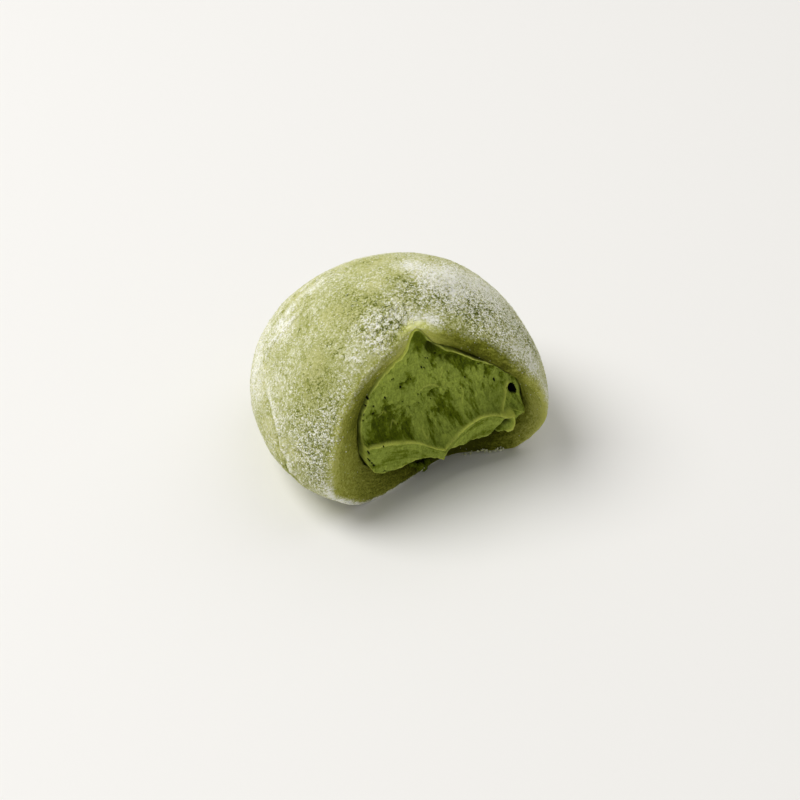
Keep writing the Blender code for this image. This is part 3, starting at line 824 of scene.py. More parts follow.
# Painted shade in the cracks between the crust's plates.
crack = (cell_edges(warped, PLATE_CELLS, 0.09, 0.01) * crack_wire
         * speckle(place, CRACK_SPOTS, detail=1.0).ramp(0.42, 0.62))
level = (starch_wire + (GRAIN_LEAST + GRAIN_MORE * grain_wire) * texture - 1.3 * crack
         + 0.30 * crack_wire * grain(PLATE_CELLS))
dusted = graded(level, DUST_COLOURS_WITH_GAP_SHADE, DUST_STOPS)
warm = (speckle(place, WARM_SPOTS, detail=4.0, roughness=0.65).ramp(0.48, 0.70)
        * level.ramp(1.0, 0.6) * level.ramp(0.1, 0.4))
dusted = mixed(0.6 * warm, dusted, DUST_WARM)
fibre_place = place.scaled(FIBRE_SQUEEZE).moved(wire.make("CombineXYZ", {0: FIBRE_RUN * past_wire}))
fibres = speckle(fibre_place, FIBRE_SPOTS, detail=5.0, roughness=0.75)
mottled = 3.2 * (fibres - 0.5) + 3.4 * (fine - 0.5) + 0.5 * grain(MOTTLE_CELLS)
bitten = graded(band_shading_wire - mottled, DOUGH_LIT_TO_SHADED, DOUGH_STOPS)
last_grains = 1.2 * texture * (1.0 - bare_wire) * bare_wire.ramp(0.0, 0.3)
clean = (1.25 * bare_wire - 0.12 - last_grains).clamp()
colour = mixed(0.75 * glow_wire, mixed(clean, dusted, bitten), DOUGH_GLOW)
bump = 0.13 * texture * (1.0 - clean) * (0.25 + grain_wire) + 0.05 * mottled * clean
finish_shader(wire, shader, colour, 0.85 - 0.25 * clean, bump, {
    "Subsurface Weight": 0.15, "Subsurface Radius": (1.0, 0.9, 0.35), "Subsurface Scale": 1.0 * MM,
    "Specular IOR Level": 0.05})
print("dusted dough", len(skin_material.node_tree.nodes), "nodes")

# %% The skin's piece
# Painted light and shade on the bitten dough: lower numbers are lighter where its rim catches light,
# higher ones darker deep in the bite and under the lip.
BAND_SHADING_TONES = (               # how dark the bitten dough is round the clock: outside, midway, inside
    (-1.30, 0.20, 1.20, 0.70, -0.30, -0.10, -0.90, -0.70, 0.10, 1.00, 1.00, -2.00),
    (-0.90, 1.70, 2.60, -0.90, 0.10, 0.90, -0.10, 0.10, 0.90, 1.90, 3.20, -0.60),
    (-0.20, 2.40, 2.90, -1.40, -0.50, 2.10, -0.10, 0.30, 1.90, 3.20, 3.20, 1.10))
BAND_UNEVEN, GLOW_FROM, GLOW_WIDTH = 0.12, 0.3, 0.17     # a share, mm past the edge, radians
uneven = across_band + BAND_UNEVEN * layered(skin_grid, 2.5, seed=33)
outside, midway, inside = (round_the_clock(tones, angle) for tones in BAND_SHADING_TONES)
band_shading = (outside + (midway - outside) * stepped(uneven, 0.05, 0.5)
        + (inside - midway) * stepped(uneven, 0.5, 0.95))
# A painted glow on the thinnest skin, by the tear.
thin_skin_glow = bell(np.maximum(GLOW_FROM - past_edge, 0), 1.0) * by_clock(angle, PEAK_AT, GLOW_WIDTH)
looks = {"starch": starch, "grainy": np.clip(grainy, 0, 1), "bare": bare, "band_shading": band_shading,
         "thin": thin_skin_glow, "crack": plated, "past_edge": np.clip(past_edge, -2, 9)}
skin = add_rings("mochi_skin_dusted", skin_points, skin_material, looks)
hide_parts("mochi_skin")

# %% [markdown]
# ## Loose starch
# The thickest starch isn't flat on the dough: it has caked into small lumps with shadows between
# them, and loose grains lie over everything, thickest at the edge of the bite, where the teeth
# shook them off. Each kind is one mesh of many small balls, each squashed, turned and dented at
# random, and sunk a little into the skin that carries it.

# %% Scattering small lumps
def ball_shape(subdivisions):
    """A unit icosphere's points and triangles."""
    shape = bmesh.new()
    bmesh.ops.create_icosphere(shape, subdivisions=subdivisions, radius=1.0)
    points = np.array([vertex.co for vertex in shape.verts])
    faces = np.array([[vertex.index for vertex in face.verts] for face in shape.faces])
    shape.free()
    return points, faces


def picked_spots(weight, count, rng):
    """Places and normals on the skin: quads drawn by area times weight, then a place in each."""
    low, high, ways = skin_points[:-1], skin_points[1:], skin_normals[:-1]
    after = np.roll(low, -1, axis=1)
    area = np.linalg.norm(np.cross(high - low, after - low), axis=-1)
    total = np.cumsum((area * weight[:-1]).ravel())
    pick = np.searchsorted(total, rng.random(count) * total[-1])
    u, v = rng.random((2, count, 1))
    flat = [values.reshape(-1, 3)[pick] for values in (low, high, after)]
    spots = flat[0] + (flat[1] - flat[0]) * u + (flat[2] - flat[0]) * v
    return spots, ways.reshape(-1, 3)[pick]


def lumps(shape, spots, ways, sizes, dent, rng):
    """Joined copies of a shape: each stretched by its three sizes, the third along its normal,
    spun at random about the normal, and dented by its own piece of noise times the dent's share."""
    points, faces = shape
    side = np.cross(ways, rng.normal(size=ways.shape))
    side /= np.linalg.norm(side, axis=-1, keepdims=True)
    other = np.cross(ways, side)
    frames = np.stack([side, other, ways], 1)
    own = points + rng.uniform(0, 500, (len(spots), 1, 3))
    shaped = points * (1 + dent * noise(own, 0.9, 67)[..., None]) * sizes[:, None, :]
    placed = spots[:, None, :] + np.einsum("npk,nkc->npc", shaped, frames)
    joined = faces + np.arange(len(spots))[:, None, None] * len(points)
    return placed.reshape(-1, 3), joined.reshape(-1, 3)


def grain_sizes(least, more, count, rng):
    """The least size plus more times a random share squared, then 0.7 to 1.3 of it on each side."""
    return (least + more * rng.random((count, 1)) ** 2) * rng.uniform(0.7, 1.3, (count, 3))


# %% Caked starch
STARCH, STARCH_SHADED = (0.95, 0.95, 0.84), (0.56, 0.58, 0.34)
starch_material, wire, shader, place = new_material("caked starch")
powder = speckle(place, 4.0, detail=3.0, roughness=0.7)
shade = (attribute(wire, "tone") + 0.8 * (powder - 0.5)).step(0.15, 0.75)
finish_shader(wire, shader, mixed(shade, STARCH_SHADED, STARCH), 0.85 + 0.1 * powder, 0.04 * powder,
              {"Specular IOR Level": 0.2})


def add_starch(name, ball, spots, ways, sizes, dent, darkest, lightest, rng, smooth_faces=False):
    """Lumps of caked starch as one piece, each lump in its own tone between the two."""
    points, faces = lumps(ball, spots, ways, sizes, dent, rng)
    tones = darkest + (lightest - darkest) * rng.random(len(spots))
    tones = np.repeat(tones, len(points) // len(spots))
    add_piece(name, points, faces, starch_material, {"tone": tones}, smooth_faces)


# %% Lumps and grains on the skin
LUMPS, GRAINS = 1500, 9000
THROWN, THROWN_PAST, THROWN_WIDTH = 0.35, -1.8, 1.1     # grains shaken off, mm past the edge, mm
LUMP_LIFT, GRAIN_LIFT = 0.01, 0.02                      # mm above the skin
rng = np.random.default_rng(101)
caked = stepped(grainy + 0.8 * (starch - 0.5), 0.35, 1.0) * plates * (1 - bare)
spots, ways = picked_spots(caked + 0.01 * (1 - bare) * (height > 1), LUMPS, rng)
wide = 0.10 + 0.16 * rng.random((LUMPS, 1)) ** 2.5
sizes = [wide * rng.uniform(0.6, 1.4, (LUMPS, 2)), wide * rng.uniform(0.3, 0.6, (LUMPS, 1))]
add_starch("starch_lumps", ball_shape(1), spots + LUMP_LIFT * ways, ways, np.concatenate(sizes, 1),
           0.7, 0.0, 1.0, rng)

thrown = THROWN * bell(past_edge - THROWN_PAST, THROWN_WIDTH) * (height > 2)
everywhere = (0.03 + np.clip(grainy, 0, 1) * np.clip(starch, 0.2, 1)) * (1 - bare) * (height > 0.4)
spots, ways = picked_spots(everywhere + thrown * (1 - bare) + 0.01 * (height > 1), GRAINS, rng)
sizes = grain_sizes(0.055, 0.075, GRAINS, rng)
add_starch("starch_grains", ball_shape(1), spots + GRAIN_LIFT * ways, ways, sizes, 0.5, 0.2, 1.0, rng)

# %% [markdown]
# ## The cream
# The filling's face is a shallow scoop in the plane of the bite. Every mark on it is a height over
# that plane: the lip of two lobes with thin crests, the raised torn rim, smears, smooth blotches
# where the cream was pressed, pits where air bubbles were, and one large bubble on the right.

# %% The cream's lip
FACE_DEPTH = -12.0
LIP_REACH, LIP_DROOP, LIP_MIDDLE = 4.4, 1.6, 2.2
LIP_LEFT_END, LIP_RIGHT_END, LIP_LEAST = -18.4, 18.7, 0.8
DRIP_BOTTOM, DRIP_TOP = 4.4, 7.0
LEFT_LOBE, RIGHT_LOBE = (9.3, 0.833, 0.31, 1.7), (6.4, 0.53, 0.60, 1.8)   # rise, peak, far width, bend
LEFT_HEM, RIGHT_HEM = (3.3, 6, 9.8, 9), (2.85, 24, 3.0, 25)      # rise and power by the drip, at the end
HEM_NOTCH = (0.69, 0.06, 0.75)                       # place along the right lobe, width, height
CREST_WAVES = ((0.22, 2.3, 61), (0.07, 0.8, 62))     # how much in mm, how long in mm, seed
HEM_WAVES = ((0.22, 1.7, 64), (0.10, 0.6, 65))
LEFT_TAPER, RIGHT_TAPER, TAPER_SHARE = 12, 24, 0.85
SCOOP_HEIGHT, SCOOP_BEND = 7.5, 2.6
DROOP_HEIGHT, END_SPREAD_LEFT, END_SPREAD_RIGHT = 2.0, 0.5, 1.3
FIN_SHARE, FIN_HEIGHT = 0.36, 0.4
FRONT_LEAN, FRONT_HOLLOW, UNDER_HEIGHT, UNDER_BEND = 0.12, 0.45, 3.2, 2.0


def arch(share, rise, peak, far, bend):
    """The rise times 1 less a power of the distance from the peak over the near or far width."""
    width = np.where(share < peak, peak, far)
    return rise * (1 - (np.abs(share - peak) / width) ** bend)


def lip_shares(x):
    """How far along the left and the right lobe X is, from 0 at the drip to 1 at the lobe's end."""
    left = np.clip((LIP_MIDDLE - x) / (LIP_MIDDLE - LIP_LEFT_END), 0, 1)
    right = np.clip((x - LIP_MIDDLE) / (LIP_RIGHT_END - LIP_MIDDLE), 0, 1)
    return left, right


def hem_rise(share, rise, power, end_rise, end_power):
    """The rise times 1 less a power of what is left of the way, plus the end's rise times a power."""
    return rise * (1 - (1 - share) ** power) + end_rise * share ** end_power


def lip_lines(x):
    """Heights of the crest and the hem over X: two arches that meet at the drip."""
    left, right = lip_shares(x)
    crest = DRIP_TOP + np.where(x < LIP_MIDDLE, arch(left, *LEFT_LOBE), arch(right, *RIGHT_LOBE))
    notch_place, notch_width, notch_height = HEM_NOTCH
    hem = (DRIP_BOTTOM + hem_rise(left, *LEFT_HEM) + hem_rise(right, *RIGHT_HEM)
           + notch_height * bell(right - notch_place, notch_width))
    return crest, np.minimum(hem, crest - LIP_LEAST)


def upright(x, z):
    """Points in the plane of X and Z."""
    return np.stack([x, 0 * x, z], -1)


def wavering(line, x, waves):
    """The line plus a noise that changes only with X, for each wave's height, length and seed."""
    for much, length, seed in waves:
        line = line + much * noise(upright(x, 0 * x), length, seed)
    return line


def lip_relief(x, z):
    """Distance out of the face, the crest, the hem, and how much the lip sags, from 0 to 1. Above the
    crest a thin fin falls off at once and a broad slope follows. The front is hollow and tucked in."""
    crest, hem = (line + LIP_DROOP for line in lip_lines(x))
    crest, hem = wavering(crest, x, CREST_WAVES), wavering(hem, x, HEM_WAVES)
    left, right = lip_shares(x)
    reach = LIP_REACH * (1 - TAPER_SHARE * left ** LEFT_TAPER) * (1 - TAPER_SHARE * right ** RIGHT_TAPER)
    rise = np.maximum(z - crest, 0)
    above = (FIN_SHARE * np.exp(-rise / FIN_HEIGHT)
             + (1 - FIN_SHARE) * np.clip(1 - rise / SCOOP_HEIGHT, 0, 1) ** SCOOP_BEND)
    down = np.clip((crest - z) / (crest - hem), 0, 1)
    on_front = 1 - FRONT_LEAN * down - FRONT_HOLLOW * down * (1 - down) ** 2
    under = np.clip(1 - (hem - z) / (UNDER_HEIGHT * (0.2 + 0.8 * reach / LIP_REACH)), 0, 1)
    below = np.where(z > hem, on_front, (1 - FRONT_LEAN) * under ** UNDER_BEND)
    push = reach * np.where(z > crest, above, below)
    sag = np.where(z > crest, bell(rise, DROOP_HEIGHT), np.where(z > hem, 1, under))
    return push, crest, hem, (reach / LIP_REACH) ** 2 * sag


x_line = np.linspace(-18, 20, 5)
print("crest", lip_lines(x_line)[0].round(1), "hem", lip_lines(x_line)[1].round(1))

# %% Marks on the cream's face
PRESSED = (                  # smooth dark cream: middle in X and Z, half width, half height, how much
    (-12.9, 19.6, 2.8, 2.6, 0.95), (-9.6, 18.4, 3.4, 2.7, 1.15), (-7.4, 16.4, 2.6, 1.6, 1.1),
    (-9.7, 22.6, 0.9, 2.3, 0.8), (-6.0, 24.9, 0.5, 1.5, 0.8), (-4.3, 26.2, 0.5, 1.3, 0.7),
    (1.6, 20.2, 1.0, 1.0, 1.3), (4.0, 17.4, 2.2, 2.4, 1.5), (5.2, 13.9, 1.2, 2.0, 1.2),
    (-1.5, 35.6, 1.7, 2.4, 1.6), (0.6, 32.6, 1.6, 1.8, 1.3), (-1.6, 31.6, 0.4, 1.6, 0.9),
    (2.0, 30.2, 1.6, 1.3, 0.9), (10.0, 17.8, 0.7, 2.4, 0.7), (7.2, 24.6, 1.1, 2.4, 0.5),
    (12.4, 21.0, 0.8, 2.2, 0.6), (-5.6, 16.2, 0.7, 2.6, 0.5), (-4.5, 26.8, 2.6, 2.6, 0.35),
    (-15.0, 17.6, 1.6, 1.0, 0.8), (0.0, 13.8, 0.7, 1.6, 0.5), (19.5, 13.9, 1.0, 1.6, 0.9))
SWIRLS = (                   # raised curls: middle in X and Z, half width, half height, mm out
    (0.8, 21.9, 2.4, 0.45, 0.50), (-7.0, 20.6, 1.6, 0.5, 0.30), (1.6, 20.1, 1.1, 1.0, -0.85),
    (3.2, 20.4, 0.5, 1.3, 0.35), (-1.2, 12.8, 0.8, 1.2, 0.4), (20.3, 12.2, 1.8, 2.6, 1.3))
BUBBLE, BUBBLE_LEAN = (19.0, 15.9, 0.74, 1.35), 0.35     # middle in X and Z, half width, half height
# A raised line runs by the bubble. The lip's right end folds in along a crease and ends in a curl.
SEAM = ((17.6, 18.6), (17.3, 17.0), (17.2, 15.4), (16.2, 14.3), (15.0, 13.8))
LIGHT_LINES = (              # thin raised curls on the face with a painted highlight, each a curve, its width and its strength
    (((-1.3, 21.9), (0.5, 22.7), (2.5, 21.7)), 0.16, 1.0),
    (((-1.9, 13.9), (-1.5, 12.6), (-0.3, 12.1)), 0.2, 0.6),
    (((-11.8, 20.4), (-10.6, 20.9), (-9.8, 20.2)), 0.16, 0.6),
    (((-9.4, 17.8), (-8.6, 18.4), (-7.8, 17.6)), 0.15, 0.6),
    (((2.9, 26.9), (3.2, 25.6), (2.9, 24.2)), 0.15, 0.5),
    (((7.6, 20.2), (8.0, 18.2), (7.6, 16.4)), 0.16, 0.5))
CURL_CREASE = ((16.4, 11.8), (15.9, 11.2), (15.0, 10.4), (14.1, 9.6), (13.6, 9.0))
CURL_EDGE = ((15.6, 13.3), (17.0, 12.7), (17.9, 11.5), (18.1, 10.2), (17.4, 9.1), (16.2, 8.8))
CURL_END, CURL_POCKET = (16.9, 9.4, 0.9), (16.3, 11.3, 0.75)      # middle, radius
SHELF, SHELF_WIDTH = ((19.0, 8.2), (19.8, 9.4), (20.6, 10.8)), 1.35
PITS = (                     # middle in X and Z, width, length downwards
    (-14.3, 26.4, 0.26, 0.34), (-14.9, 24.9, 0.20, 0.24), (-15.3, 22.6, 0.22, 0.38),
    (-15.6, 21.3, 0.22, 0.20), (-15.8, 14.3, 0.24, 0.30), (-15.3, 13.6, 0.22, 0.24),
    (-14.9, 12.9, 0.26, 0.30), (-15.9, 16.4, 0.2, 0.4), (-12.4, 10.2, 0.30, 0.18),
    (-11.6, 9.7, 0.3, 0.16), (-6.0, 24.6, 0.24, 0.34), (-3.8, 25.9, 0.16, 0.2),
    (1.7, 30.5, 0.24, 0.20), (3.0, 29.4, 0.34, 0.16), (12.0, 25.3, 0.24, 0.22),
    (10.6, 25.8, 0.34, 0.12), (-12.7, 23.1, 0.20, 0.26), (-9.7, 23.6, 0.16, 0.5),
    (-12.9, 21.4, 0.36, 0.2), (4.3, 25.1, 0.16, 0.2), (-13.6, 25.6, 0.16, 0.16),
    (14.8, 19.6, 0.2, 0.6), (8.2, 22.4, 0.14, 0.4), (-1.2, 27.8, 0.14, 0.5))
SMEAR_LEAN, SMEAR_STRETCH, SWIRL_BEND, PIT_LEAN = np.radians(20), 3.0, 0.12, 0.3
SMOOTH_RAGGED, SMOOTH_LESS = 1.7, 0.22
FACE_SWELL, SMEARS, FINE_SMEARS, FACE_GRAIN, PRESSED_DEPTH = 0.35, 0.30, 0.12, 0.05, 0.30     # mm


def near_line(x, z, corners):
    """Distance in X and Z to a curve through the corners."""
    line = curve_points([(a, 0.0, b) for a, b in corners], 24)
    nearest = np.full(np.shape(x), 1e9)
    for a, _, b in line:
        nearest = np.minimum(nearest, (x - a) ** 2 + (z - b) ** 2)
    return np.sqrt(nearest)


def drawn_out(x, z):
    """X and Z turned by the smears' lean, with the length of the smears shortened."""
    across = x * np.cos(SMEAR_LEAN) + z * np.sin(SMEAR_LEAN)
    along = (x * np.sin(SMEAR_LEAN) - z * np.cos(SMEAR_LEAN)) / SMEAR_STRETCH
    return upright(across, along)


def marks(x, z, from_rim, under_ridge):
    """Relief of the smears, pressed places and swirls, and the share of smooth cream. The smears
    are noise drawn out downwards and a little to the right. A ragged fringe hangs under the rim."""
    flat, drawn = upright(x, z), drawn_out(x, z)
    streaky = stepped(x, -7.0, 1.0)
    ragged_edge = (streaky * layered(drawn, 1.1, seed=71, layers=4, fall=0.75)
                   + (1 - streaky) * layered(flat, 1.5, seed=72, layers=5, fall=0.75))
    smooth_share = under_ridge * 1.1 * stepped(from_rim, 0.5, 1.2) * stepped(4.4 - from_rim, -0.5, 2.5)
    for bx, bz, wide, high, much in PRESSED:
        smooth_share = smooth_share + much * bell(x - bx, wide) * bell(z - bz, high)
    smooth_share = np.clip(smooth_share + SMOOTH_RAGGED * ragged_edge - SMOOTH_LESS, 0, 1)
    matt = 1 - 0.7 * smooth_share
    lift = (FACE_SWELL * layered(flat, 7.0, seed=73, layers=2)
            + SMEARS * matt * layered(drawn, 1.6, seed=75, fall=0.6))
    fine_smears = layered(drawn, 0.45, seed=77, layers=2)
    fine_relief = FINE_SMEARS * fine_smears + FACE_GRAIN * noise(flat, 0.4, seed=78)
    lift = lift - PRESSED_DEPTH * smooth_share + matt * fine_relief
    for sx, sz, wide, high, push in SWIRLS:
        bent = z - sz + SWIRL_BEND * (x - sx) ** 2
        lift = lift + push * bell(x - sx, wide) * bell(bent, high)
    return lift, smooth_share


def pit_field(x, z, tiny=26, seed=81):
    """How much of a pit there is, from 0 to 1: a bell for each pit, the listed ones and tiny ones."""
    rng = np.random.default_rng(seed)
    scattered = zip(rng.uniform(-14, 16, tiny), rng.uniform(17, 31, tiny), rng.uniform(0.08, 0.16, tiny),
                    rng.uniform(0.10, 0.30, tiny))
    pit = 0.0 * x
    for a, b, wide, high in (*PITS, *scattered):
        pit = np.maximum(pit, bell(x - a + PIT_LEAN * (z - b), wide) * bell(z - b, high))
    return pit


# %% The face's grid and its lip
CREAM_SPOKES, FACE_RINGS, BACK_RINGS = 560, 156, 12
FACE_BUNCHING, BACK_BUNCHING, BACK_START = 0.85, 1.3, 0.05
RIM_INSET, RIM_OUT_BY_PEAK, BACK_GAP = 0.12, 0.25, 0.15                  # mm
CREASE_IN, CURL_OUT, CURL_EDGE_OUT, POCKET_IN, SHELF_OUT = 1.0, 0.3, 0.6, 1.4, 2.5    # mm
CREASE_WIDTH, CURL_EDGE_WIDTH, LIP_FADE = 0.42, 0.34, 0.06
cream_angle = np.radians(PEAK_AT) + np.arange(CREAM_SPOKES) * 2 * np.pi / CREAM_SPOKES
share = (np.linspace(0, 1, FACE_RINGS) ** FACE_BUNCHING)[:, None] * np.ones(CREAM_SPOKES)
around = np.broadcast_to(cream_angle, share.shape)
rim = opening(around)
rim_radius = (np.hypot(rim[..., 0], rim[..., 2] - AXIS_POINT[2]) - RIM_INSET
              + RIM_OUT_BY_PEAK * by_clock(around, 100, 0.30))
face_x = rim_radius * share * np.cos(around)
face_z = AXIS_POINT[2] + rim_radius * share * np.sin(around)
on_face = upright(face_x, face_z)
from_rim = rim_radius * (1 - share)
push, crest_line, hem_line, overhang = lip_relief(face_x, face_z)
at_rim = np.clip((1 - share) / LIP_FADE, 0, 1) ** 0.7
push, overhang = push * at_rim, overhang * at_rim
crease = bell(near_line(face_x, face_z, CURL_CREASE), CREASE_WIDTH)
curl, pocket = (bell(np.hypot(face_x - x, face_z - z), wide) for x, z, wide in (CURL_END, CURL_POCKET))
curl_edge = bell(near_line(face_x, face_z, CURL_EDGE), CURL_EDGE_WIDTH)
shelf = bell(near_line(face_x, face_z, SHELF), SHELF_WIDTH)
push = (push - CREASE_IN * crease + CURL_OUT * curl + CURL_EDGE_OUT * curl_edge - POCKET_IN * pocket
        + SHELF_OUT * shelf * at_rim)
print("lip reaches", push.max().round(2), "mm out of the face")

# %% Smears, crumbs and smooth cream
LIP_SMEARS, LIP_FINE_SMEARS, LIP_GRAIN, CRUMBLY = 0.20, 0.09, 0.05, 0.5    # mm
LIP_SMEAR_STRETCH = 0.25
on_lip = stepped(crest_line - face_z, -0.2, 0.3)
lip_smears = upright(face_x * LIP_SMEAR_STRETCH, crest_line - face_z)
under_ridge = arc(around, 22, 94, 0.2, 0.15)
lift, smooth_share = marks(face_x, face_z, from_rim, under_ridge)
lip_lift = (LIP_SMEARS * layered(lip_smears, 1.1, seed=83)
            + LIP_FINE_SMEARS * layered(lip_smears, 0.35, seed=85)
            + LIP_GRAIN * noise(on_face, 0.4, seed=86))
lift = lift * (1 - on_lip) + on_lip * lip_lift
under_hem = stepped(hem_line - face_z, 0.2, 1.0) * (1 - np.clip(1.5 * shelf, 0, 1))
lift = lift + under_hem * CRUMBLY * layered(on_face, 1.3, seed=87)
lip_smooth = stepped(layered(lip_smears, 1.2, seed=89, layers=4, fall=0.7), -0.25, 0.7)
smooth_share = smooth_share * (1 - on_lip) + on_lip * 0.75 * lip_smooth
print("share of the face that is smooth", (smooth_share > 0.5).mean().round(2))

# %% The torn rim, the bubble and the face's depth
RIM_BEAD, BEAD_WIDTH, BEAD_FROM, BEAD_WANDER = 1.05, 0.38, 0.55, 0.35      # mm
PIT_DEPTH, BUBBLE_DEPTH, SEAM_HEIGHT, LIGHT_LINE_HEIGHT = 0.55, 2.2, 0.5, 0.16
GROOVE = 0.9                 # mm deep along the dough, less at these degrees round, each with its width
GROOVE_LESS = ((0.7, 5, 0.40), (0.85, 100, 0.30), (0.45, 195, 0.30))
# Two hollows under the peak: how deep in mm, the middle, and how wide on each side.
RECESSES = ((1.7, (1.0, 0.0, 33.0), (1.2, 1.0, 1.8)), (0.8, (4.6, 0.0, 29.0), (2.4, 1.0, 0.8)))
torn = arc(around, 30, 94, 0.12, 0.1) + 0.6 * arc(around, 94, 205, 0.1, 0.3)
# A painted glow on the cream at the tip of the tear.
tip_light = ((1.1 * by_clock(around, 101, 0.15) + 0.9 * by_clock(around, 118, 0.24))
             * bell(from_rim - 0.12, 0.48))
wave = ragged(around, 1.0, seed=91)
bead_place = BEAD_FROM + BEAD_WANDER * wave
rim_bead = RIM_BEAD * torn * (0.8 + 0.4 * wave) * bell(from_rim - bead_place, BEAD_WIDTH)
recess = sum(much * blob(on_face, middle, size) for much, middle, size in RECESSES)
pits = pit_field(face_x, face_z)
bubble_x, bubble_z, bubble_wide, bubble_high = BUBBLE
from_bubble = np.hypot((face_x - bubble_x + BUBBLE_LEAN * (face_z - bubble_z)) / bubble_wide,
                       (face_z - bubble_z) / bubble_high)
bubble = stepped(1.25 - from_bubble, 0, 0.3)
seam = bell(near_line(face_x, face_z, SEAM), 0.35)
light_lines = sum(much * bell(near_line(face_x, face_z, line), wide) for line, wide, much in LIGHT_LINES)
fade = stepped(from_rim, 0.0, 0.7)
groove = GROOVE
for less, degrees, wide in GROOVE_LESS:
    groove = groove - less * by_clock(around, degrees, wide)
depth = FACE_DEPTH + (rim[..., 1] - FACE_DEPTH) * share ** 2
depth = (depth - push - lift * fade - rim_bead + (PIT_DEPTH * pits + recess) * fade
         + BUBBLE_DEPTH * bubble - SEAM_HEIGHT * seam - LIGHT_LINE_HEIGHT * light_lines
         + groove * (1 - stepped(from_rim, 0.0, 0.35)))
print("the face lies", depth.min().round(1), "to", depth.max().round(1), "mm along Y")

# %% The cream's rings
lobe_left, lobe_right = lip_shares(face_x)
spread_out = overhang * (END_SPREAD_RIGHT * lobe_right ** 8 - END_SPREAD_LEFT * lobe_left ** 8)
cream_face = np.stack([face_x + spread_out, depth, face_z - LIP_DROOP * overhang], -1)
back_share = np.linspace(0, 1, BACK_RINGS)[:, None] ** BACK_BUNCHING * np.ones(CREAM_SPOKES)
back_share = BACK_START + (1 - BACK_START) * back_share
cream_back = hollow_wall(np.broadcast_to(cream_angle, back_share.shape), back_share, BACK_GAP)
cream_points = np.concatenate([cream_face, cream_back])
print("cream grid", cream_points.shape, "triangles", 2 * cream_points.shape[0] * CREAM_SPOKES)

# %% [markdown]
# ## Whipped cream
# Where it is full of air the cream is pale and matt. Where it was pressed or drawn it is smooth, darker
# and a stronger green. Both go by one number per vertex, and a fine streaky grain moves each place up
# and down the same scale of colours. Thin crests, the hem, the torn rim, raised curls and the seam get a
# painted highlight for the light that shines through and onto them. The crevice under the lip, the
# crease, the curl's pocket, the hollows under the peak, the gap by the dough, the pits and the bubble
# get painted shade.

# %% The cream's material
CREAM_COLOURS = ((0.055, 0.08, 0.001), (0.15, 0.20, 0.006), (0.28, 0.355, 0.054), (0.46, 0.56, 0.09))
CREAM_STOPS = (0.0, 0.38, 0.72, 1.0)
# Below: a painted highlight for crests and edges, painted shade under the lip and in hollows, and darker
# painted shade in pits and the bubble.
CREAM_HIGHLIGHT, CREAM_SHADE, CREAM_PIT_SHADE = (0.78, 0.86, 0.17), (0.035, 0.045, 0.002), (0.006, 0.009, 0.002)
CREAM_SQUEEZE, MOTTLE_SPOTS, FLECK_SPOTS = (1.0, 0.6, 0.4), 1.4, 2.6

cream_material, wire, shader, place = new_material("matcha cream")
pale_wire, pit_shade_wire, highlight_wire, shade_wire = (
    attribute(wire, name) for name in ("pale", "pit", "edge", "low"))
squeezed = wire.make("VectorMath", {0: place, 1: CREAM_SQUEEZE}, {"operation": "MULTIPLY"})
mottle = speckle(squeezed, MOTTLE_SPOTS, detail=6.0, roughness=0.8, distortion=0.6)
fleck = speckle(place, FLECK_SPOTS, detail=4.0, roughness=0.75)
level = pale_wire + 1.4 * (mottle - 0.5) + 0.8 * (fleck - 0.5)
colour = graded(level, CREAM_COLOURS, CREAM_STOPS)
colour = mixed((highlight_wire * (0.55 + 0.7 * fleck)).clamp(), colour, CREAM_HIGHLIGHT)
colour = mixed((shade_wire * (0.5 + 0.9 * mottle)).clamp(), colour, CREAM_SHADE)
colour = mixed(pit_shade_wire.step(0.2, 0.8), colour, CREAM_PIT_SHADE)
finish_shader(wire, shader, colour, 0.5 + 0.3 * pale_wire, 0.20 * (mottle + 0.5 * fleck), {
    "Subsurface Weight": 0.12, "Subsurface Radius": (1.0, 0.95, 0.3), "Subsurface Scale": 0.7 * MM,
    "Specular IOR Level": 0.05})
print("matcha cream", len(cream_material.node_tree.nodes), "nodes")

# %% The cream's piece
LINE_UP, CREST_WIDTH, HEM_WIDTH, RIM_WIDTH = (0.02, 0.12), 0.13, 0.14, 0.42   # mm: how high, how wide
along_x = upright(face_x, 0 * face_x)
# Painted highlights along the crest, the hem and the torn rim, and on the curls, the seam and the curl's
# edge.
on_crest = np.clip((push - 0.8) / 0.8, 0, 1)
crest_light = (on_crest * bell(face_z - crest_line - LINE_UP[0], CREST_WIDTH)
               * (1.15 + 0.4 * noise(along_x, 2.0, seed=93)))
by_drip = 0.5 + 0.7 * bell(face_x - 3.2, 1.6)
hem_light = (by_drip * bell(face_z - hem_line - LINE_UP[1], HEM_WIDTH) * on_crest
             * (0.6 + 0.6 * noise(along_x, 0.8, seed=94)))
rim_light = (torn * bell(from_rim - bead_place + 0.05, RIM_WIDTH)
             * (0.75 + 0.6 * layered(on_face, 1.2, seed=95)))
edge = crest_light + hem_light + rim_light + 0.6 * light_lines + 0.7 * seam + 1.6 * curl_edge + tip_light
# The crease is darkened here as painted shade.
pale = 0.80 - 0.66 * smooth_share + 0.16 * layered(on_face, 5.0, seed=97) - 0.20 * crease
# Painted shade in the pits and the big bubble.
pit_shade = np.clip(1.4 * pits, 0, 1) + stepped(1.3 - from_bubble, 0, 0.15)
# Painted shade in the gap between the cream and the dough.
gap_shade = bell(from_rim - 0.1, 0.30) * (by_clock(around, 50, 0.45) + by_clock(around, 165, 0.5))
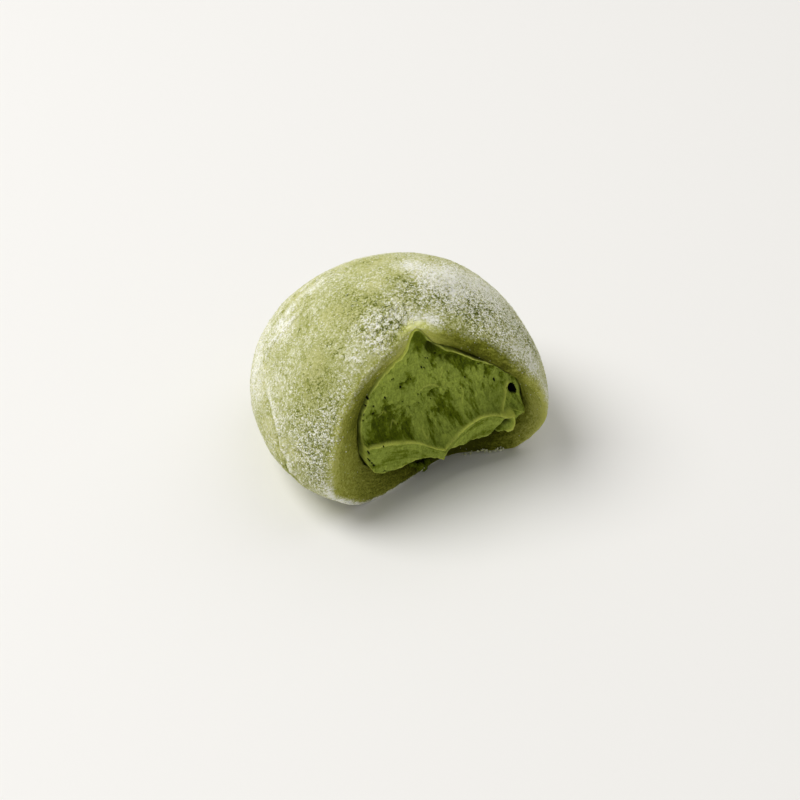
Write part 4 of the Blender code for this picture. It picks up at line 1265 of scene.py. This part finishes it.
# Painted shade under the hem, in the recesses under the peak, along the crease, in the curl's pocket and
# in that gap.
low = under_hem + 0.5 * recess + 0.6 * crease + 1.0 * pocket + 0.9 * gap_shade
looks = {"pale": pale, "pit": pit_shade, "edge": np.clip(edge, 0, 1), "low": np.clip(low, 0, 1)}
hidden = np.zeros(back_share.shape)
looks = {key: np.concatenate([value, hidden]) for key, value in looks.items()}
cream = add_rings("matcha_cream_whipped", cream_points, cream_material, looks,
                  from_front=True)
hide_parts("matcha_cream")

# %% [markdown]
# ## Crumbs
# A few crumbs of cream have dropped onto the dough under the lip, and a line of damp starch lumps
# sits where the bitten dough meets the floor on the right.

# %% Crumbs of cream and of starch
CREAM_CRUMBS = (             # a place, its width
    ((-4.4, -13.4, 4.3), 1.3), ((-2.4, -13.4, 2.6), 2.3), ((-1.4, -13.2, 2.0), 1.8),
    ((-0.4, -13.0, 2.8), 1.5), ((-3.3, -13.0, 3.2), 1.5), ((-6.4, -13.3, 4.9), 0.8),
    ((9.6, -13.9, 6.2), 0.8), ((0.8, -12.9, 2.2), 0.8))
STARCH_CRUMBS = (
    (8.8, -12.6, 0.5), (10.4, -13.0, 0.6), (11.8, -13.6, 1.0), (12.6, -14.0, 1.1), (13.3, -14.3, 0.9),
    (14.2, -14.7, 0.7), (15.0, -14.9, 0.9), (15.7, -15.1, 1.0), (16.6, -15.4, 0.8), (-2.6, -13.9, 2.9),
    (-2.2, -14.1, 2.4), (-4.9, -12.9, 0.5))
CRUMB_WAY = (0.0, -0.6, 0.8)                             # forwards and up, out of the dough
CRUMB_LUMPY, CRUMB_PALE, CRUMB_SHADE = 0.26, 0.30, 0.35    # mm, then how pale and how much in the shade
CRUMBS_EACH, CRUMBS_SPREAD = 4, (0.35, 0.12, 0.15)       # starch crumbs at each place, mm apart

rng = np.random.default_rng(131)
places = np.array([place for place, _ in CREAM_CRUMBS])
wide = np.array([[width / 2] for _, width in CREAM_CRUMBS])
ways = np.tile(CRUMB_WAY, (len(places), 1))
sizes = wide * rng.uniform(0.8, 1.1, (len(places), 3))
points, faces = lumps(ball_shape(3), places, ways, sizes, 0.0, rng)
points = points + CRUMB_LUMPY * np.stack([layered(points, 0.9, 133 + k) for k in range(3)], -1)
none = 0 * points[:, 0]
looks = {"pale": none + CRUMB_PALE, "pit": none, "edge": none, "low": none + CRUMB_SHADE}
add_piece("cream_crumbs", points, faces, cream_material, looks)

places = np.repeat(np.array(STARCH_CRUMBS), CRUMBS_EACH, axis=0)
places = places + rng.normal(scale=CRUMBS_SPREAD, size=places.shape)
ways = np.tile(CRUMB_WAY, (len(places), 1))
sizes = grain_sizes(0.12, 0.20, len(places), rng)
add_starch("starch_crumbs", ball_shape(2), places, ways, sizes, 0.5, 0.0, 0.5, rng, smooth_faces=True)

# %% [markdown]
# ## The measured box
# The dressed cake is meant to stay the size of the imported one, and its box is printed.

# %% The dressed box, and the end
low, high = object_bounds()
print("visual box mm", [round((b - a) / MM, 2) for a, b in zip(low, high)])
